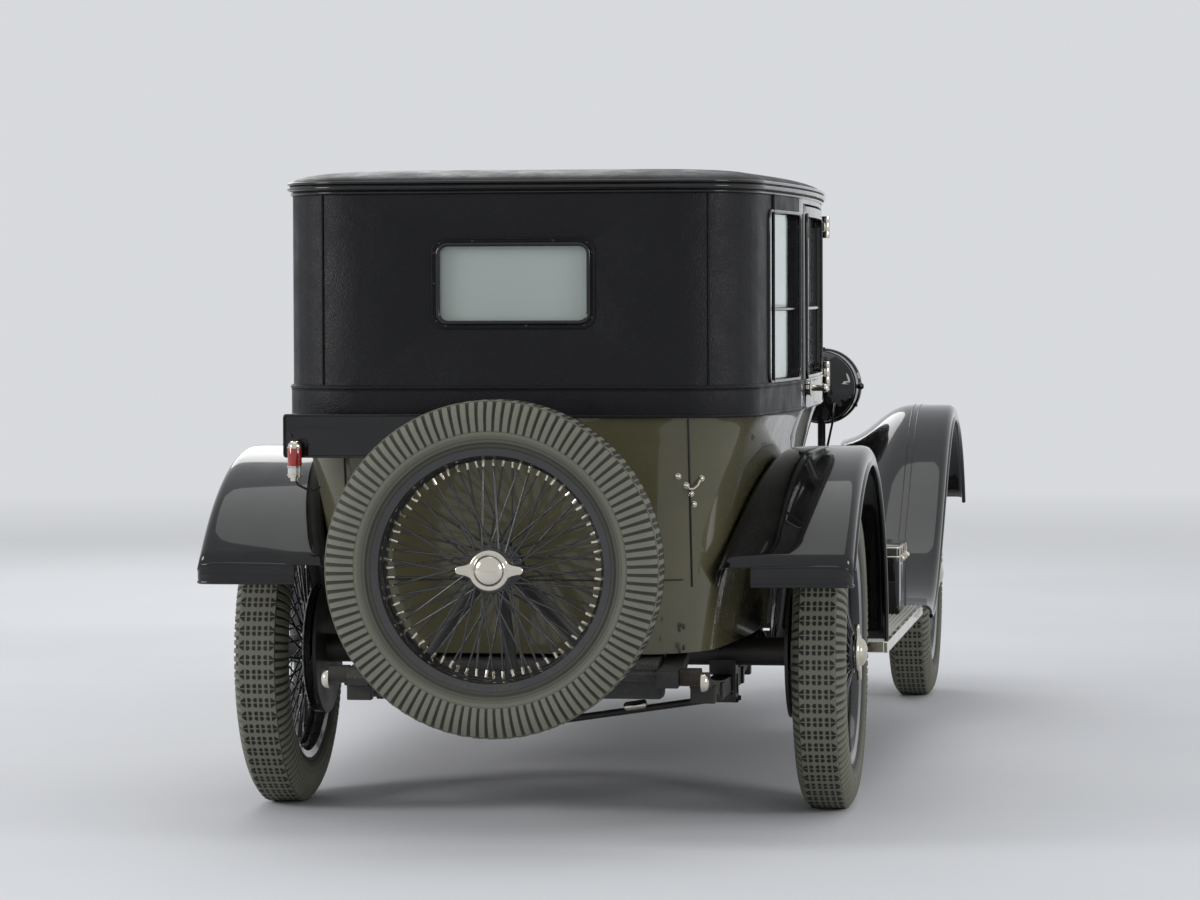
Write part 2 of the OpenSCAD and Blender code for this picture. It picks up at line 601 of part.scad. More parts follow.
drive_y = -265;                    // the driver sits on the right
wheel_at = [800, drive_y, 1020];   // middle of the steering wheel
box_at = [1780, drive_y, 520];     // steering box on the frame
column_dir = (box_at - wheel_at) / norm(box_at - wheel_at);
module column_way(r) rod(wheel_at, box_at, r);
module steering_column() color("#222222") translate([rear_x, 0, 0]) {
    difference() {
        rod(wheel_at + 40 * column_dir, box_at, 20);
        rod(wheel_at, wheel_at + 100 * column_dir, 9 + fit);
    }
    translate(box_at) rotate([90, 0, 0]) cylinder(h = 90, r = 50, center = true);
    box([1750, -rail_front_y, 490], [1810, -300, 530]);
}
wheel_rim_r = 215;
module steering_wheel() color("#1a1512") translate([rear_x, 0, 0]) translate(wheel_at)
    rotate([0, 90 + acos(column_dir[0]), 0]) rotate([0, 180, 0]) {
        rotate_extrude() translate([wheel_rim_r - 13, 0]) circle(13, $fn = 32);
        for (a = [45 : 90 : 315]) rotate([0, 0, a]) translate([0, 0, 4])
            rotate([0, 90, 0]) cylinder(h = wheel_rim_r - 13, r = 7);
        translate([0, 0, -14]) cylinder(h = 32, r = 30);
        translate([0, 0, -90]) cylinder(h = 90, r = 9);
    }

// Left-hand knuckle, in place: a fork round the axle's eye, and the stub its wheel runs on
arm_back = 150;
fork_z = 39;
module knuckle() color("#202020") translate([front_x, kingpin_y, axle_z]) {
    translate([0, 0, -fork_z - 19]) cylinder(h = 2 * (fork_z + 19), r = pin_r);
    for (z = [-fork_z - 19, fork_z]) {
        translate([0, 0, z]) cylinder(h = 19, r = 24);
        box([-22, 0, z], [22, 44, z + 19]);
    }
    box([-24, 32, -fork_z - 19], [24, 50, fork_z + 19]);
    across(0, 0, drum_r - 4, 48, 54);
    across(0, 0, 34, 50, 66);
    across(0, 0, stub_r, 50, kingpin_in + stub_out);
    // Steering arm and its ball pin
    box([-arm_back, -11, -fork_z - 19], [-18, 11, -fork_z - 3]);
    translate([-arm_back, 0, -fork_z - 19]) cylinder(h = 16, r = 17);
    translate([-arm_back, 0, rod_down - 14]) cylinder(h = -fork_z - 4 - rod_down + 14, r = 8);
}
module knuckle_left() knuckle();
module knuckle_right() mirror([0, 1, 0]) knuckle();
rod_down = -92;      // height of the track rod against the axle
module track_rod() color("#2a2a2a") translate([front_x - arm_back, 0, axle_z + rod_down]) difference() {
    union() {
        across(0, 0, 12, -kingpin_y, kingpin_y);
        mirrored() translate([0, kingpin_y, -13]) cylinder(h = 26, r = 19);
    }
    translate([0, kingpin_y, -20]) cylinder(h = 40, r = 8 + fit);
    translate([0, -kingpin_y, -20]) cylinder(h = 40, r = 8 + 1);
}

// ---------- wheels ----------

// Right way round for the left side: its outer face looks along +Y, its middle at the origin
rim_t = 5;
rim_well = 24;
hub_r = 34;
module rim_section() polygon([
    [rim_r, rim_w / 2], [rim_r, rim_w / 2 - rim_t], [rim_r - 14, rim_w / 2 - rim_t - 1],
    [rim_r - 14, 26], [rim_r - rim_well, 16], [rim_r - rim_well, -16], [rim_r - 14, -26],
    [rim_r - 14, 1 + rim_t - rim_w / 2], [rim_r, rim_t - rim_w / 2], [rim_r, -rim_w / 2],
    [rim_r - 14 - rim_t, rim_t - 2 - rim_w / 2], [rim_r - 14 - rim_t, -24], [rim_r - rim_well - rim_t, -14],
    [rim_r - rim_well - rim_t, 14], [rim_r - 14 - rim_t, 24], [rim_r - 14 - rim_t, rim_w / 2 - rim_t + 2]]);
spoke_lean = 26;    // degrees that a spoke's two ends lie apart round the hub
nut_out = 92;       // from the wheel's middle to the end of its nut
module wheel(drum) {
    rotate([-90, 0, 0]) rotate_extrude() rim_section();
    // Rows of spokes: the outer row leans one way and the inner row the other
    step = 360 / spoke_count;
    for (i = [0 : spoke_count - 1]) for (side = [-1, 1]) {
        a = step * (i + (side > 0 ? 0.5 : 0));
        b = a + side * spoke_lean;
        rod([42 * cos(b), side > 0 ? 54 : -44, 42 * sin(b)],
            [(rim_r - rim_well - 2) * cos(a), side * 5, (rim_r - rim_well - 2) * sin(a)], spoke_d / 2);
    }
    difference() {
        union() {
            translate([0, -62, 0]) rotate([-90, 0, 0]) cylinder(h = 124, r = hub_r);
            for (y = [-49, 48]) translate([0, y, 0]) rotate([-90, 0, 0]) cylinder(h = 10, r = 52);
            if (drum) {
                translate([0, -62 - 14, 0]) rotate([-90, 0, 0]) cylinder(h = 14 + eps, r = drum_r);
                translate([0, -86, 0]) rotate([-90, 0, 0]) difference() {
                    cylinder(h = 24, r = drum_r);
                    translate([0, 0, -1]) cylinder(h = 13, r = drum_r - 8);
                }
            }
            nut();
        }
        translate([0, -120, 0]) rotate([-90, 0, 0]) cylinder(h = 120 + stub_out + 5, r = stub_r + fit);
    }
}
// Knock-off nut: a domed boss with two ears
module nut() {
    foot = 60;
    dome = 74;
    foot_r = 48;
    dome_r = 40;
    ear_r = 81;
    rotate([-90, 0, 0]) rotate_extrude() polygon(concat([[0, foot], [foot_r, foot], [foot_r, dome]],
        [for (a = [0 : 15 : 90]) [dome_r * cos(a), dome + (nut_out - dome) * sin(a)]]));
    for (s = [-1, 1]) translate([0, foot + 2, 0]) rotate([-90, 0, 0]) linear_extrude(14)
        polygon([[s * 38, -20], [s * (ear_r - 9), -11], [s * ear_r, -5], [s * ear_r, 5],
            [s * (ear_r - 9), 11], [s * 38, 20]]);
}
module tyre() rotate([-90, 0, 0]) rotate_extrude() {
    bead = rim_w / 2 - rim_t - 1 - seat;
    fat_r = (tyre_r + rim_r) / 2 + 4;
    n = 12;
    right = [for (i = [0 : n]) let (a = -80 + 170 * i / n)
        [a < 0 ? fat_r + (fat_r - rim_r - seat) * sin(a) / sin(80)
            : fat_r + (tyre_r - fat_r) * pow(sin(a), 0.8),
         tyre_w / 2 * pow(cos(a), a < 0 ? 0.35 : 0.45)]];
    ordered = concat([[rim_r - 14 + seat, bead], [rim_r + seat, bead]], right);
    polygon(concat([[rim_r - 14 + seat, -bead]], ordered,
        [for (i = [len(ordered) - 1 : -1 : 1]) [ordered[i][0], -ordered[i][1]]]));
}
module at_wheel(x, side) translate([x, side * wheel_y, axle_z]) mirror([0, side < 0 ? 1 : 0, 0]) children();
module wheel_front_left() color("#141414") at_wheel(front_x, 1) wheel(true);
module wheel_front_right() color("#141414") at_wheel(front_x, -1) wheel(true);
module wheel_rear_left() color("#141414") at_wheel(rear_x, 1) wheel(true);
module wheel_rear_right() color("#141414") at_wheel(rear_x, -1) wheel(true);
module tyre_front_left() color("#4a4b45") at_wheel(front_x, 1) tyre();
module tyre_front_right() color("#4a4b45") at_wheel(front_x, -1) tyre();
module tyre_rear_left() color("#4a4b45") at_wheel(rear_x, 1) tyre();
module tyre_rear_right() color("#4a4b45") at_wheel(rear_x, -1) tyre();

spare_x = rear_x - rear_overhang + nut_out;
module at_spare() translate([spare_x, 0, spare_z]) rotate([0, 0, 90]) children();
module spare_wheel() color("#141414") at_spare() wheel(false);
module spare_tyre() color("#4a4b45") at_spare() tyre();
module spare_carrier() color("#1b1b1b") {
    // Hub spigot on a plate, and its arms from the frame's rear cross tube
    plate_x = spare_x + 64;
    foot = [rear_x + rear_eye_x - eye_pin_r - 3, 0, rear_eye_z + 6];
    translate([spare_x - stub_out, 0, spare_z]) rotate([0, 90, 0]) cylinder(h = stub_out + 70, r = stub_r);
    translate([plate_x, 0, spare_z]) rotate([0, 90, 0]) cylinder(h = 18, r = 60);
    for (y = [-230, 0, 230]) rod([plate_x + 16, y / 9, spare_z - 10], foot + [-12, y, 8], 14);
}

// ---------- wings and boards ----------

// A wing's skin: sections of [y, drop] pairs carried along a path of [x, z, nx, nz]
function wing_row(at, section) = [for (p = section)
    [at[0] - at[2] * p[1], p[0], at[1] - at[3] * p[1]]];
function thinner(section, t) = [for (i = [0 : len(section) - 1])
    let (a = section[max(0, i - 1)], b = section[min(len(section) - 1, i + 1)],
         d = (b - a) / norm(b - a))
    [section[i][0] + t * d[1], section[i][1] - t * d[0]]];

rear_wing_n = 22;
rear_tip = 157;     // angle of the rear wing's tip round the axle, from the front
function rear_wing_r(a) = a < 90 ? rear_wing_z - axle_z + 20 * pow((90 - a) / 90, 2)
    : rear_wing_z - axle_z + 125 * pow((a - 90) / (rear_tip - 90), 2);
function rear_wing_at(a) = [rear_wing_r(a) * cos(a), axle_z + rear_wing_r(a) * sin(a)];
function unit(v) = v / norm(v);
function rear_wing_normal(a) = let (t = unit(rear_wing_at(a + 1) - rear_wing_at(a - 1))) [t[1], -t[0]];
// Inner edge of the wing at a depth under its crown: it follows the body's side
function rear_wing_in(a, depth) = let (p = rear_wing_at(a), n = rear_wing_normal(a))
    max(470, corner_y(p[0] - n[0] * depth, p[1] - n[1] * depth) + 4);
function rear_wing_section(a) = let (edge = rear_wing_y - 6, low = 46, bend = 34, inner = rear_wing_in(a, 0))
    concat([[edge - 2, low]],
        [for (k = [0 : 4]) let (b = 90 * k / 4) [edge - 26 + 26 * cos(b), 26 - 26 * sin(b)]],
        [for (k = [1 : 5]) let (s = k / 5) [edge - 26 - (edge - 26 - inner - bend) * s, 3 * s * s]],
        [for (k = [1 : 4]) let (b = 90 * k / 4, depth = 37 - bend * cos(b))
            [rear_wing_in(a, depth) + bend - bend * sin(b), depth]],
        [[rear_wing_in(a, 80), 80]]);
module rear_wings() color("#101011") translate([rear_x, 0, 0]) mirrored() {
    angles = [for (i = [0 : rear_wing_n]) -1 + (rear_tip + 1) * i / rear_wing_n];
    outer = [for (a = angles) let (p = rear_wing_at(a), n = rear_wing_normal(a))
        wing_row([p[0], p[1], n[0], n[1]], rear_wing_section(a))];
    inner = [for (a = angles) let (p = rear_wing_at(a), n = rear_wing_normal(a))
        wing_row([p[0], p[1], n[0], n[1]], thinner(rear_wing_section(a), sheet_t))];
    shell(inner, outer);
}

board_front = 1925;
front_wing_n = 30;
front_tip = 66;      // degrees forward of the top at which the wing ends
sweep_back = wheelbase - board_front - 5;
// Path from the tip, over the wheel and down to the running board; s from 0 to 1
front_split = 0.36;
function front_wing_at(s) = s < front_split
    ? let (b = front_tip * (1 - s / front_split))
        [front_overhang / sin(front_tip) * sin(b), axle_z + (front_wing_z - axle_z) * cos(b)]
    : let (t = (s - front_split) / (1 - front_split))
        [-sweep_back * t, board_z + (front_wing_z - board_z) * pow(0.5 + 0.5 * cos(180 * t), 0.95)];
function front_wing_normal(s) = let (
        t = unit(front_wing_at(min(1, s + 0.01)) - front_wing_at(max(0, s - 0.01)))) [t[1], -t[0]];
// The wing's cross section: a rolled edge, a flat crown, and a slope down to the frame that fades to the board
crown_in = 680;
edge_r = 24;
function front_wing_fade(s) = s < front_split ? 0.55 + 0.45 * s / front_split
    : pow(0.5 + 0.5 * cos(180 * (s - front_split) / (1 - front_split)), 0.8);
function front_wing_section(s) = let (edge = front_wing_y - 6, fade = front_wing_fade(s),
        slope = 118 * fade, inner = 500 - 35 * fade)
    concat([[edge - 2, 46 - 16 * (1 - fade)]],
        [for (k = [0 : 4]) let (b = 90 * k / 4) [edge - edge_r + edge_r * cos(b), edge_r - edge_r * sin(b)]],
        [for (k = [1 : 8]) let (y = edge - edge_r - (edge - edge_r - inner) * k / 8)
            [y, y > crown_in ? 0 : slope * (0.5 - 0.5 * cos(180 * (crown_in - y) / (crown_in - inner)))]]);
module front_wings() color("#101011") translate([front_x, 0, 0]) mirrored() {
    ss = [for (i = [0 : front_wing_n]) i / front_wing_n];
    rows = [for (s = ss) let (p = front_wing_at(s), n = front_wing_normal(s))
        wing_row([p[0], p[1], n[0], n[1]], front_wing_section(s))];
    rows_in = [for (s = ss) let (p = front_wing_at(s), n = front_wing_normal(s))
        wing_row([p[0], p[1], n[0], n[1]], thinner(front_wing_section(s), sheet_t))];
    shell(rows, rows_in);
}

board_out = 800;
board_in = 500;
module running_boards() color("#2a2a2a") translate([rear_x, 0, 0]) mirrored()
    translate([0, 0, board_z - 25]) linear_extrude(25)
        translate([wing_clear, board_in]) square([board_front - wing_clear, board_out - board_in]);
// Upright sheets along the boards, with a ledge in to the frame rails
apron_y = 486;
module splash_aprons() color("#131313") translate([rear_x, 0, 0]) mirrored() {
    box([wing_clear + 2, apron_y, board_z], [board_front, apron_y + 4, sill_z - 10]);
    translate([0, 0, sill_z - 14]) linear_extrude(4) polygon([
        [wing_clear + 2, rail_rear_y + rail_t], [1000, rail_rear_y + rail_t], [1700, rail_front_y + rail_t],
        [board_front, rail_front_y + rail_t], [board_front, apron_y + eps], [wing_clear + 2, apron_y + eps]]);
}
module tool_box() color("#181818") translate([rear_x, -640, 0]) {
    translate([0, 0, board_z]) linear_extrude(200) round_rect(1560, 1900, -120, 110, 12);
}

// ---------- front ----------

rad_x = wheelbase - radiator_back;
rad_top = 985;
rad_low = 520;
rad_w = bonnet_front_w + 12;
module radiator_outline(inset) polygon(concat(
    [[-(rad_w - inset), rad_low + inset], [rad_w - inset, rad_low + inset]],
    arch(rad_w - inset, rad_top - inset, 800, 3.4)));
module radiator_shell() color("#b9b4a8") translate([rear_x + rad_x, 0, 0]) {
    along_x(110) difference() {
        radiator_outline(0);
        radiator_outline(26);
    }
    translate([55, 0, rad_top - 12]) cylinder(h = 44, r = 34);
    translate([55, 0, rad_top + 30]) cylinder(h = 14, r = 26);
    // Feet on the front cross member
    for (y = [-200, 200]) box([20, y - 25, rad_low - 0.3], [90, y + 25, rad_low + 10]);
}
module radiator_core() color("#26282a") translate([rear_x + rad_x + 20, 0, 0]) along_x(74) radiator_outline(26);

lamp_y = 400;
lamp_z = 1000;
lamp_x = wheelbase - 115;
module head_lamps() color("#121212") translate([rear_x, 0, 0]) mirrored() {
    translate([lamp_x, lamp_y, lamp_z]) rotate([0, 90, 0]) rotate_extrude() polygon(concat(
        [[0, -34], [40, -32], [lamp_r - 30, -14], [lamp_r - 10, 0], [lamp_r - 6, 20], [lamp_r - 6, 128],
         [lamp_r, 132], [lamp_r, 160], [lamp_r - 8, 166]],
        [for (a = [80 : -20 : 0]) [(lamp_r - 10) * sin(a), 166 + 16 * cos(a)]]));
    // Stand on the frame
    post_x = lamp_x + 60;
    post_y = rail_front_y + rail_t - 22;
    translate([post_x, lamp_y, 720]) cylinder(h = lamp_z - lamp_r + 12 - 720, r = 13);
    translate([post_x, lamp_y, 720]) sphere(16);
    rod([post_x, lamp_y, 720], [post_x, post_y, 610], 12);
    translate([post_x, post_y, 610]) sphere(16);
    translate([post_x, post_y, rail_top]) cylinder(h = 70, r = 13);
}

// ---------- bonnet ----------

bonnet_front = rad_x - gap;
bonnet_start = bonnet_back + gap;
bonnet_power = 3;
arch_z = 780;       // where the bonnet's sides turn into its arch
fold_z = 890;       // height of the hinge between a top and its side
fold_gap = 10;
side_low = 560;
side_start = bonnet_back + 14;
hinge_r = 5;        // the centre hinge, which lies on the bonnet's ridge
function bonnet_w(x) = bonnet_rear_w
    + (bonnet_front_w - bonnet_rear_w) * (x - bonnet_back) / (rad_x - bonnet_back);
function arch_up(z) = (z - arch_z) / (bonnet_z - arch_z);
function fold_y(x, z = fold_z) = bonnet_w(x) * pow(1 - pow(arch_up(z), bonnet_power), 1 / bonnet_power);
function ridge_z(y, w) = arch_z + (bonnet_z - arch_z) * pow(1 - pow(y / w, bonnet_power), 1 / bonnet_power);
function bonnet_top_row(x, t) = let (w = bonnet_w(x), y0 = hinge_r + 3, y1 = fold_y(x, fold_z + fold_gap / 2))
    [for (i = [0 : 12]) let (y = y0 + (y1 - y0) * sin(90 * i / 12))
        [x, y - t * pow(y / y1, 2), ridge_z(y, w) - t]];
bonnet_n = 6;
function stations(from) = [for (i = [0 : bonnet_n]) from + (bonnet_front - from) * i / bonnet_n];
module bonnet_top() translate([rear_x, 0, 0])
    shell([for (x = stations(bonnet_start)) bonnet_top_row(x, 0)],
        [for (x = stations(bonnet_start)) bonnet_top_row(x, sheet_t)]);
fold_r = 4;
module fold_barrel() rod([side_start, fold_y(side_start) - sheet_t / 2, fold_z],
    [bonnet_front, fold_y(bonnet_front) - sheet_t / 2, fold_z], fold_r);
function bonnet_side_row(x, t) = let (w = bonnet_w(x), high = fold_z - 2) concat(
    [for (i = [0 : 5]) let (z = high - (high - arch_z) * i / 5) [x, fold_y(x, z) - t, z]],
    [[x, w - t, 700], [x, w - t, side_low]]);
module bonnet_side() translate([rear_x, 0, 0]) {
    shell([for (x = stations(side_start)) bonnet_side_row(x, 0)],
        [for (x = stations(side_start)) bonnet_side_row(x, sheet_t)]);
    fold_barrel();
}
module bonnet_top_left() color("#4d4a33") bonnet_top();
module bonnet_top_right() color("#4d4a33") mirror([0, 1, 0]) bonnet_top();
module bonnet_side_left() color("#4d4a33") bonnet_side();
module bonnet_side_right() color("#4d4a33") mirror([0, 1, 0]) bonnet_side();

// ---------- doors ----------

door_zs = concat(low_zs, [door_top]);
function door_row(z, inset) = let (a = shut_x(z)) [for (i = [0 : 8])
    let (x = a + (door_front - a) * i / 8) [x, body_y(x, z) - inset, z]];
door_window_rear = door_rear + 62;
door_window_front = door_front - 62;
module door() translate([rear_x, 0, 0]) {
    difference() {
        shell([for (z = door_zs) door_row(z, wall)], [for (z = door_zs) door_row(z, 0)]);
        along_y(1400) round_rect(door_window_rear, door_window_front, window_low, window_high, 22);
    }
    for (z = hinge_zs) door_barrel(z);
    // Handle: a lever on a turned boss
    y = body_y(door_rear + 60, belt_z + 50);
    translate([door_rear + 60, y - 2, belt_z + 50]) rotate([-90, 0, 0]) cylinder(h = 12, r = 19);
    translate([door_rear + 60, y, belt_z + 50]) rotate([-90, 0, 0]) cylinder(h = 48, r = 8);
    translate([door_rear + 60, y + 48, belt_z + 50]) sphere(11);
    rod([door_rear + 60, y + 48, belt_z + 50], [door_rear + 160, y + 44, belt_z + 44], 7);
}
module door_left() color("#4d4a33") door();
module door_right() color("#4d4a33") mirror([0, 1, 0]) door();
module door_glass_left() color("#9fb4b8", 0.4) translate([rear_x, 0, 0])
    side_glass(door_window_rear, door_window_front);
module door_glass_right() color("#9fb4b8", 0.4) mirror([0, 1, 0]) door_glass_left();

// ---------- rear fittings ----------

plate_z = 965;
plate_back = 18;     // the board's rear face, behind the tail
module plate_board() color("#0d0d0d") translate([rear_x - tail_back, 0, 0]) {
    translate([-plate_back, 0, 0]) along_x(10) round_rect(100, 560, plate_z - 53, plate_z + 53, 8);
    box([-plate_back + 9, 250, plate_z + 12], [draw_in(plate_z + 30) * tail_share - 0.6, 365, plate_z + 30]);
}
// The lamp hangs on the outer end of the board, on a short bracket
tail_lamp_r = 16;
tail_lamp_z = [865, 945];
module tail_lamp() color("#8f2018") translate([rear_x - tail_back - plate_back - tail_lamp_r - 4, 527, 0]) {
    translate([0, 0, tail_lamp_z[0]]) cylinder(h = tail_lamp_z[1] - tail_lamp_z[0], r = tail_lamp_r);
    for (z = [tail_lamp_z[0] - 8, tail_lamp_z[1] - eps]) translate([0, 0, z]) cylinder(h = 8 + eps, r = 11);
    box([0, -10, 920], [tail_lamp_r + 4, 10, 938]);
}

frame();
front_axle();
rear_axle();
leaf_springs();
dampers();
engine();
exhaust();
fuel_tank();
floor();
tail_tub();
scuttle();
cabin_back();
roof();
windscreen_frame();
fixed_glass();
dashboard();
front_seats();
rear_seat();
steering_column();
radiator_shell();
radiator_core();
head_lamps();
front_wings();
rear_wings();
running_boards();
splash_aprons();
tool_box();
spare_carrier();
spare_wheel();
spare_tyre();
plate_board();
tail_lamp();
door_left();
door_right();
door_glass_left();
door_glass_right();
bonnet_top_left();
bonnet_top_right();
bonnet_side_left();
bonnet_side_right();
steering_wheel();
knuckle_left();
knuckle_right();
track_rod();
wheel_front_left();
wheel_front_right();
wheel_rear_left();
wheel_rear_right();
tyre_front_left();
tyre_front_right();
tyre_rear_left();
tyre_rear_right();
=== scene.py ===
import json
import math

import bmesh
import bpy
from bpy.props import FloatProperty, FloatVectorProperty, IntProperty, PointerProperty
from mathutils import Matrix, Quaternion, Vector

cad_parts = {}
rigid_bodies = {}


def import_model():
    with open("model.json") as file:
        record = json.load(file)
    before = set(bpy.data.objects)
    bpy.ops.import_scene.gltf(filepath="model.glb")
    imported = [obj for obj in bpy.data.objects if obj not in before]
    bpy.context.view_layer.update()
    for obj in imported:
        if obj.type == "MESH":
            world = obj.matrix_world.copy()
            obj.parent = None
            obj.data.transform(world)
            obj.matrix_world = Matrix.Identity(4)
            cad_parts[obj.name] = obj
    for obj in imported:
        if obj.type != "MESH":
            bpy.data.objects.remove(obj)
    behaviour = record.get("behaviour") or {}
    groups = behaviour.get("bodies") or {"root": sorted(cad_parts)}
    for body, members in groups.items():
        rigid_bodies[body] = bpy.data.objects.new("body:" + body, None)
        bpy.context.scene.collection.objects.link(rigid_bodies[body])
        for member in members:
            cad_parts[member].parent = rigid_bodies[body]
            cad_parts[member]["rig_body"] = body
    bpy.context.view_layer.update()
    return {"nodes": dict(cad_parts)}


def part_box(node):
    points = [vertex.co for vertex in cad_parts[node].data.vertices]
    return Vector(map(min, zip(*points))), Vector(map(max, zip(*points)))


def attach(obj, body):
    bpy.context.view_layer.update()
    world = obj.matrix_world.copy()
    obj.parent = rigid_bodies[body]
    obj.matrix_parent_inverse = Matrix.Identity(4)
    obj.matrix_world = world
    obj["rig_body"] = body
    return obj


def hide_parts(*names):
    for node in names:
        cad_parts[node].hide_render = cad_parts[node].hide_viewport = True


bl_info = {
    "name": "1920s two-door closed car",
    "version": (1, 0, 0),
    "blender": (4, 5, 0),
    "location": "View3D > Sidebar > Vintage car",
    "description": "Surfaces, trim and fittings of a closed car of the 1920s",
    "category": "Object",
}

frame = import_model()
NODES = frame["nodes"]
BODY = {n: o["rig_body"] for n, o in NODES.items()}
MM = 0.001


# ---------- places, in metres ----------

def middle(node):
    low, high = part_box(node)
    return (low + high) / 2


REAR = middle("tyre_rear_left").x
FRONT = middle("tyre_front_left").x
AXLE_Z = middle("tyre_rear_left").z
TRACK_Y = middle("tyre_rear_left").y
SPARE = middle("spare_tyre")
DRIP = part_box("roof")[0].z


def at(x, y, z):
    """A point given in millimetres, with x counted from the rear axle."""
    return Vector((REAR + x / 1000, y / 1000, z / 1000))


# ---------- modelling helpers ----------

MERGE = 0.00004
FLIP = Matrix.Diagonal((1, -1, 1, 1))


def only(ob):
    bpy.ops.object.select_all(action="DESELECT")
    ob.select_set(True)
    bpy.context.view_layer.objects.active = ob
    return ob


def settle(ob):
    """Moves an object's place, turn and scale into its mesh."""
    only(ob)
    bpy.ops.object.transform_apply(location=True, rotation=True, scale=True)
    return ob


def stand(ob, centre, axis):
    """Stands an object's Z along an axis at a centre, and settles it there."""
    ob.rotation_mode = "QUATERNION"
    ob.rotation_quaternion = Vector(axis).to_track_quat("Z", "Y")
    ob.location = centre
    return settle(ob)


def linked(name, data):
    ob = bpy.data.objects.new(name, data)
    bpy.context.collection.objects.link(ob)
    return ob


def new_mesh(name, points, edges=(), faces=()):
    """An object with a mesh of points, edges and faces."""
    mesh = bpy.data.meshes.new(name)
    mesh.from_pydata([tuple(p) for p in points], edges, faces)
    return linked(name, mesh)


def added(kind, **values):
    """A new primitive, selected alone."""
    bpy.ops.object.select_all(action="DESELECT")
    getattr(bpy.ops.mesh, f"primitive_{kind}_add")(**values)
    return bpy.context.active_object


def edited(ob, *steps):
    """Runs edit mode operators, each a name and its values, on the whole of a mesh."""
    only(ob)
    bpy.ops.object.mode_set(mode="EDIT")
    for name, values in steps:
        bpy.ops.mesh.select_all(action="SELECT")
        getattr(bpy.ops.mesh, name)(**values)
    bpy.ops.object.mode_set(mode="OBJECT")
    return ob


OUTWARD = ("normals_make_consistent", {"inside": False})


def apply_modifier(ob, kind, **values):
    only(ob)
    mod = ob.modifiers.new(kind.title(), kind)
    for key, value in values.items():
        setattr(mod, key, value)
    bpy.ops.object.modifier_apply(modifier=mod.name)
    return ob


def subdivide(ob, levels):
    return apply_modifier(ob, "SUBSURF", levels=levels, render_levels=levels)


def bevel(ob, width, segments=2, angle=35):
    """Rounds the edges sharper than an angle, if the width isn't nothing."""
    if not width:
        return ob
    return apply_modifier(ob, "BEVEL", width=width, segments=segments, limit_method="ANGLE",
                          angle_limit=math.radians(angle))


def smooth(ob, angle=35):
    only(ob)
    bpy.ops.object.shade_smooth_by_angle(angle=math.radians(angle))
    return ob


def block(low, high, width=0.002, segments=2):
    """A box between two corners with bevelled edges."""
    low, high = Vector(low), Vector(high)
    return bevel(settle(added("cube", size=1, location=(low + high) / 2, scale=tuple(high - low))), width, segments)


def drum(centre, axis, radius, depth, width=0.001, sides=32):
    """A round disc or bar about an axis, with bevelled rims."""
    return bevel(stand(added("cylinder", vertices=sides, radius=radius, depth=depth), centre, axis), width)


def ball(centre, radius, scale=(1, 1, 1)):
    return smooth(settle(added("uv_sphere", segments=20, ring_count=12, radius=radius, location=centre,
                               scale=scale)), 60)


def turned(profile, centre=(0, 0, 0), axis=(0, 1, 0), steps=64, closed=False):
    """A profile of (radius, height) pairs spun round an axis through centre."""
    last = len(profile) - 1
    links = [(i, i + 1) for i in range(last)] + ([(last, 0)] if closed else [])
    ob = new_mesh("profile", [(r, 0, h) for r, h in profile], links)
    edited(ob, ("spin", {"steps": steps, "angle": 2 * math.pi, "center": (0, 0, 0), "axis": (0, 0, 1)}),
           ("remove_doubles", {"threshold": MERGE / 2}), OUTWARD)
    return smooth(stand(ob, centre, axis), 40)


def turned_mm(profile, *place, **values):
    """As turned, with the profile in millimetres."""
    return turned([(r * MM, h * MM) for r, h in profile], *place, **values)


def pipe(points, radius, closed=False, sides=3):
    """A round bar that follows points."""
    curve = bpy.data.curves.new("pipe", "CURVE")
    curve.dimensions = "3D"
    curve.bevel_depth = radius
    curve.bevel_resolution = sides
    curve.use_fill_caps = not closed
    spline = curve.splines.new("POLY")
    spline.points.add(len(points) - 1)
    for place, p in zip(spline.points, points):
        place.co = (*p, 1)
    spline.use_cyclic_u = closed
    only(linked("pipe", curve))
    bpy.ops.object.convert(target="MESH")
    return smooth(bpy.context.active_object, 50)


def slab(outline, depth, width=0.001):
    """A flat outline of 3-D points thickened along a vector, with bevelled edges."""
    ob = new_mesh("slab", outline, (), [list(range(len(outline)))])
    edited(ob, ("extrude_region_move", {"TRANSFORM_OT_translate": {"value": tuple(depth)}}), OUTWARD)
    return bevel(ob, width)


def sheet_between(rows, thickness):
    """A skin through rows of points, thickened."""
    cols = len(rows[0])
    faces = []
    for r in range(len(rows) - 1):
        for a in range(r * cols, r * cols + cols - 1):
            faces.append((a, a + 1, a + 1 + cols, a + cols))
    ob = edited(new_mesh("skin", [p for row in rows for p in row], (), faces), OUTWARD)
    return apply_modifier(ob, "SOLIDIFY", thickness=thickness, offset=0)


def join(obs):
    """Joins objects into the first."""
    if len(obs) > 1:
        only(obs[0])
        for o in obs[1:]:
            o.select_set(True)
        bpy.ops.object.join()
    return obs[0]


def moved_copy(ob, matrix):
    """A second object with its mesh moved by a matrix, faces outwards."""
    other = linked(ob.name + "_copy", ob.data.copy())
    other.data.transform(matrix)
    if matrix.determinant() < 0:
        other.data.flip_normals()
    return other


def copies(ob, matrices):
    """Turns ob into one object with a copy of its mesh at each matrix."""
    made = [moved_copy(ob, matrix) for matrix in matrices]
    bpy.data.objects.remove(ob)
    return join(made)


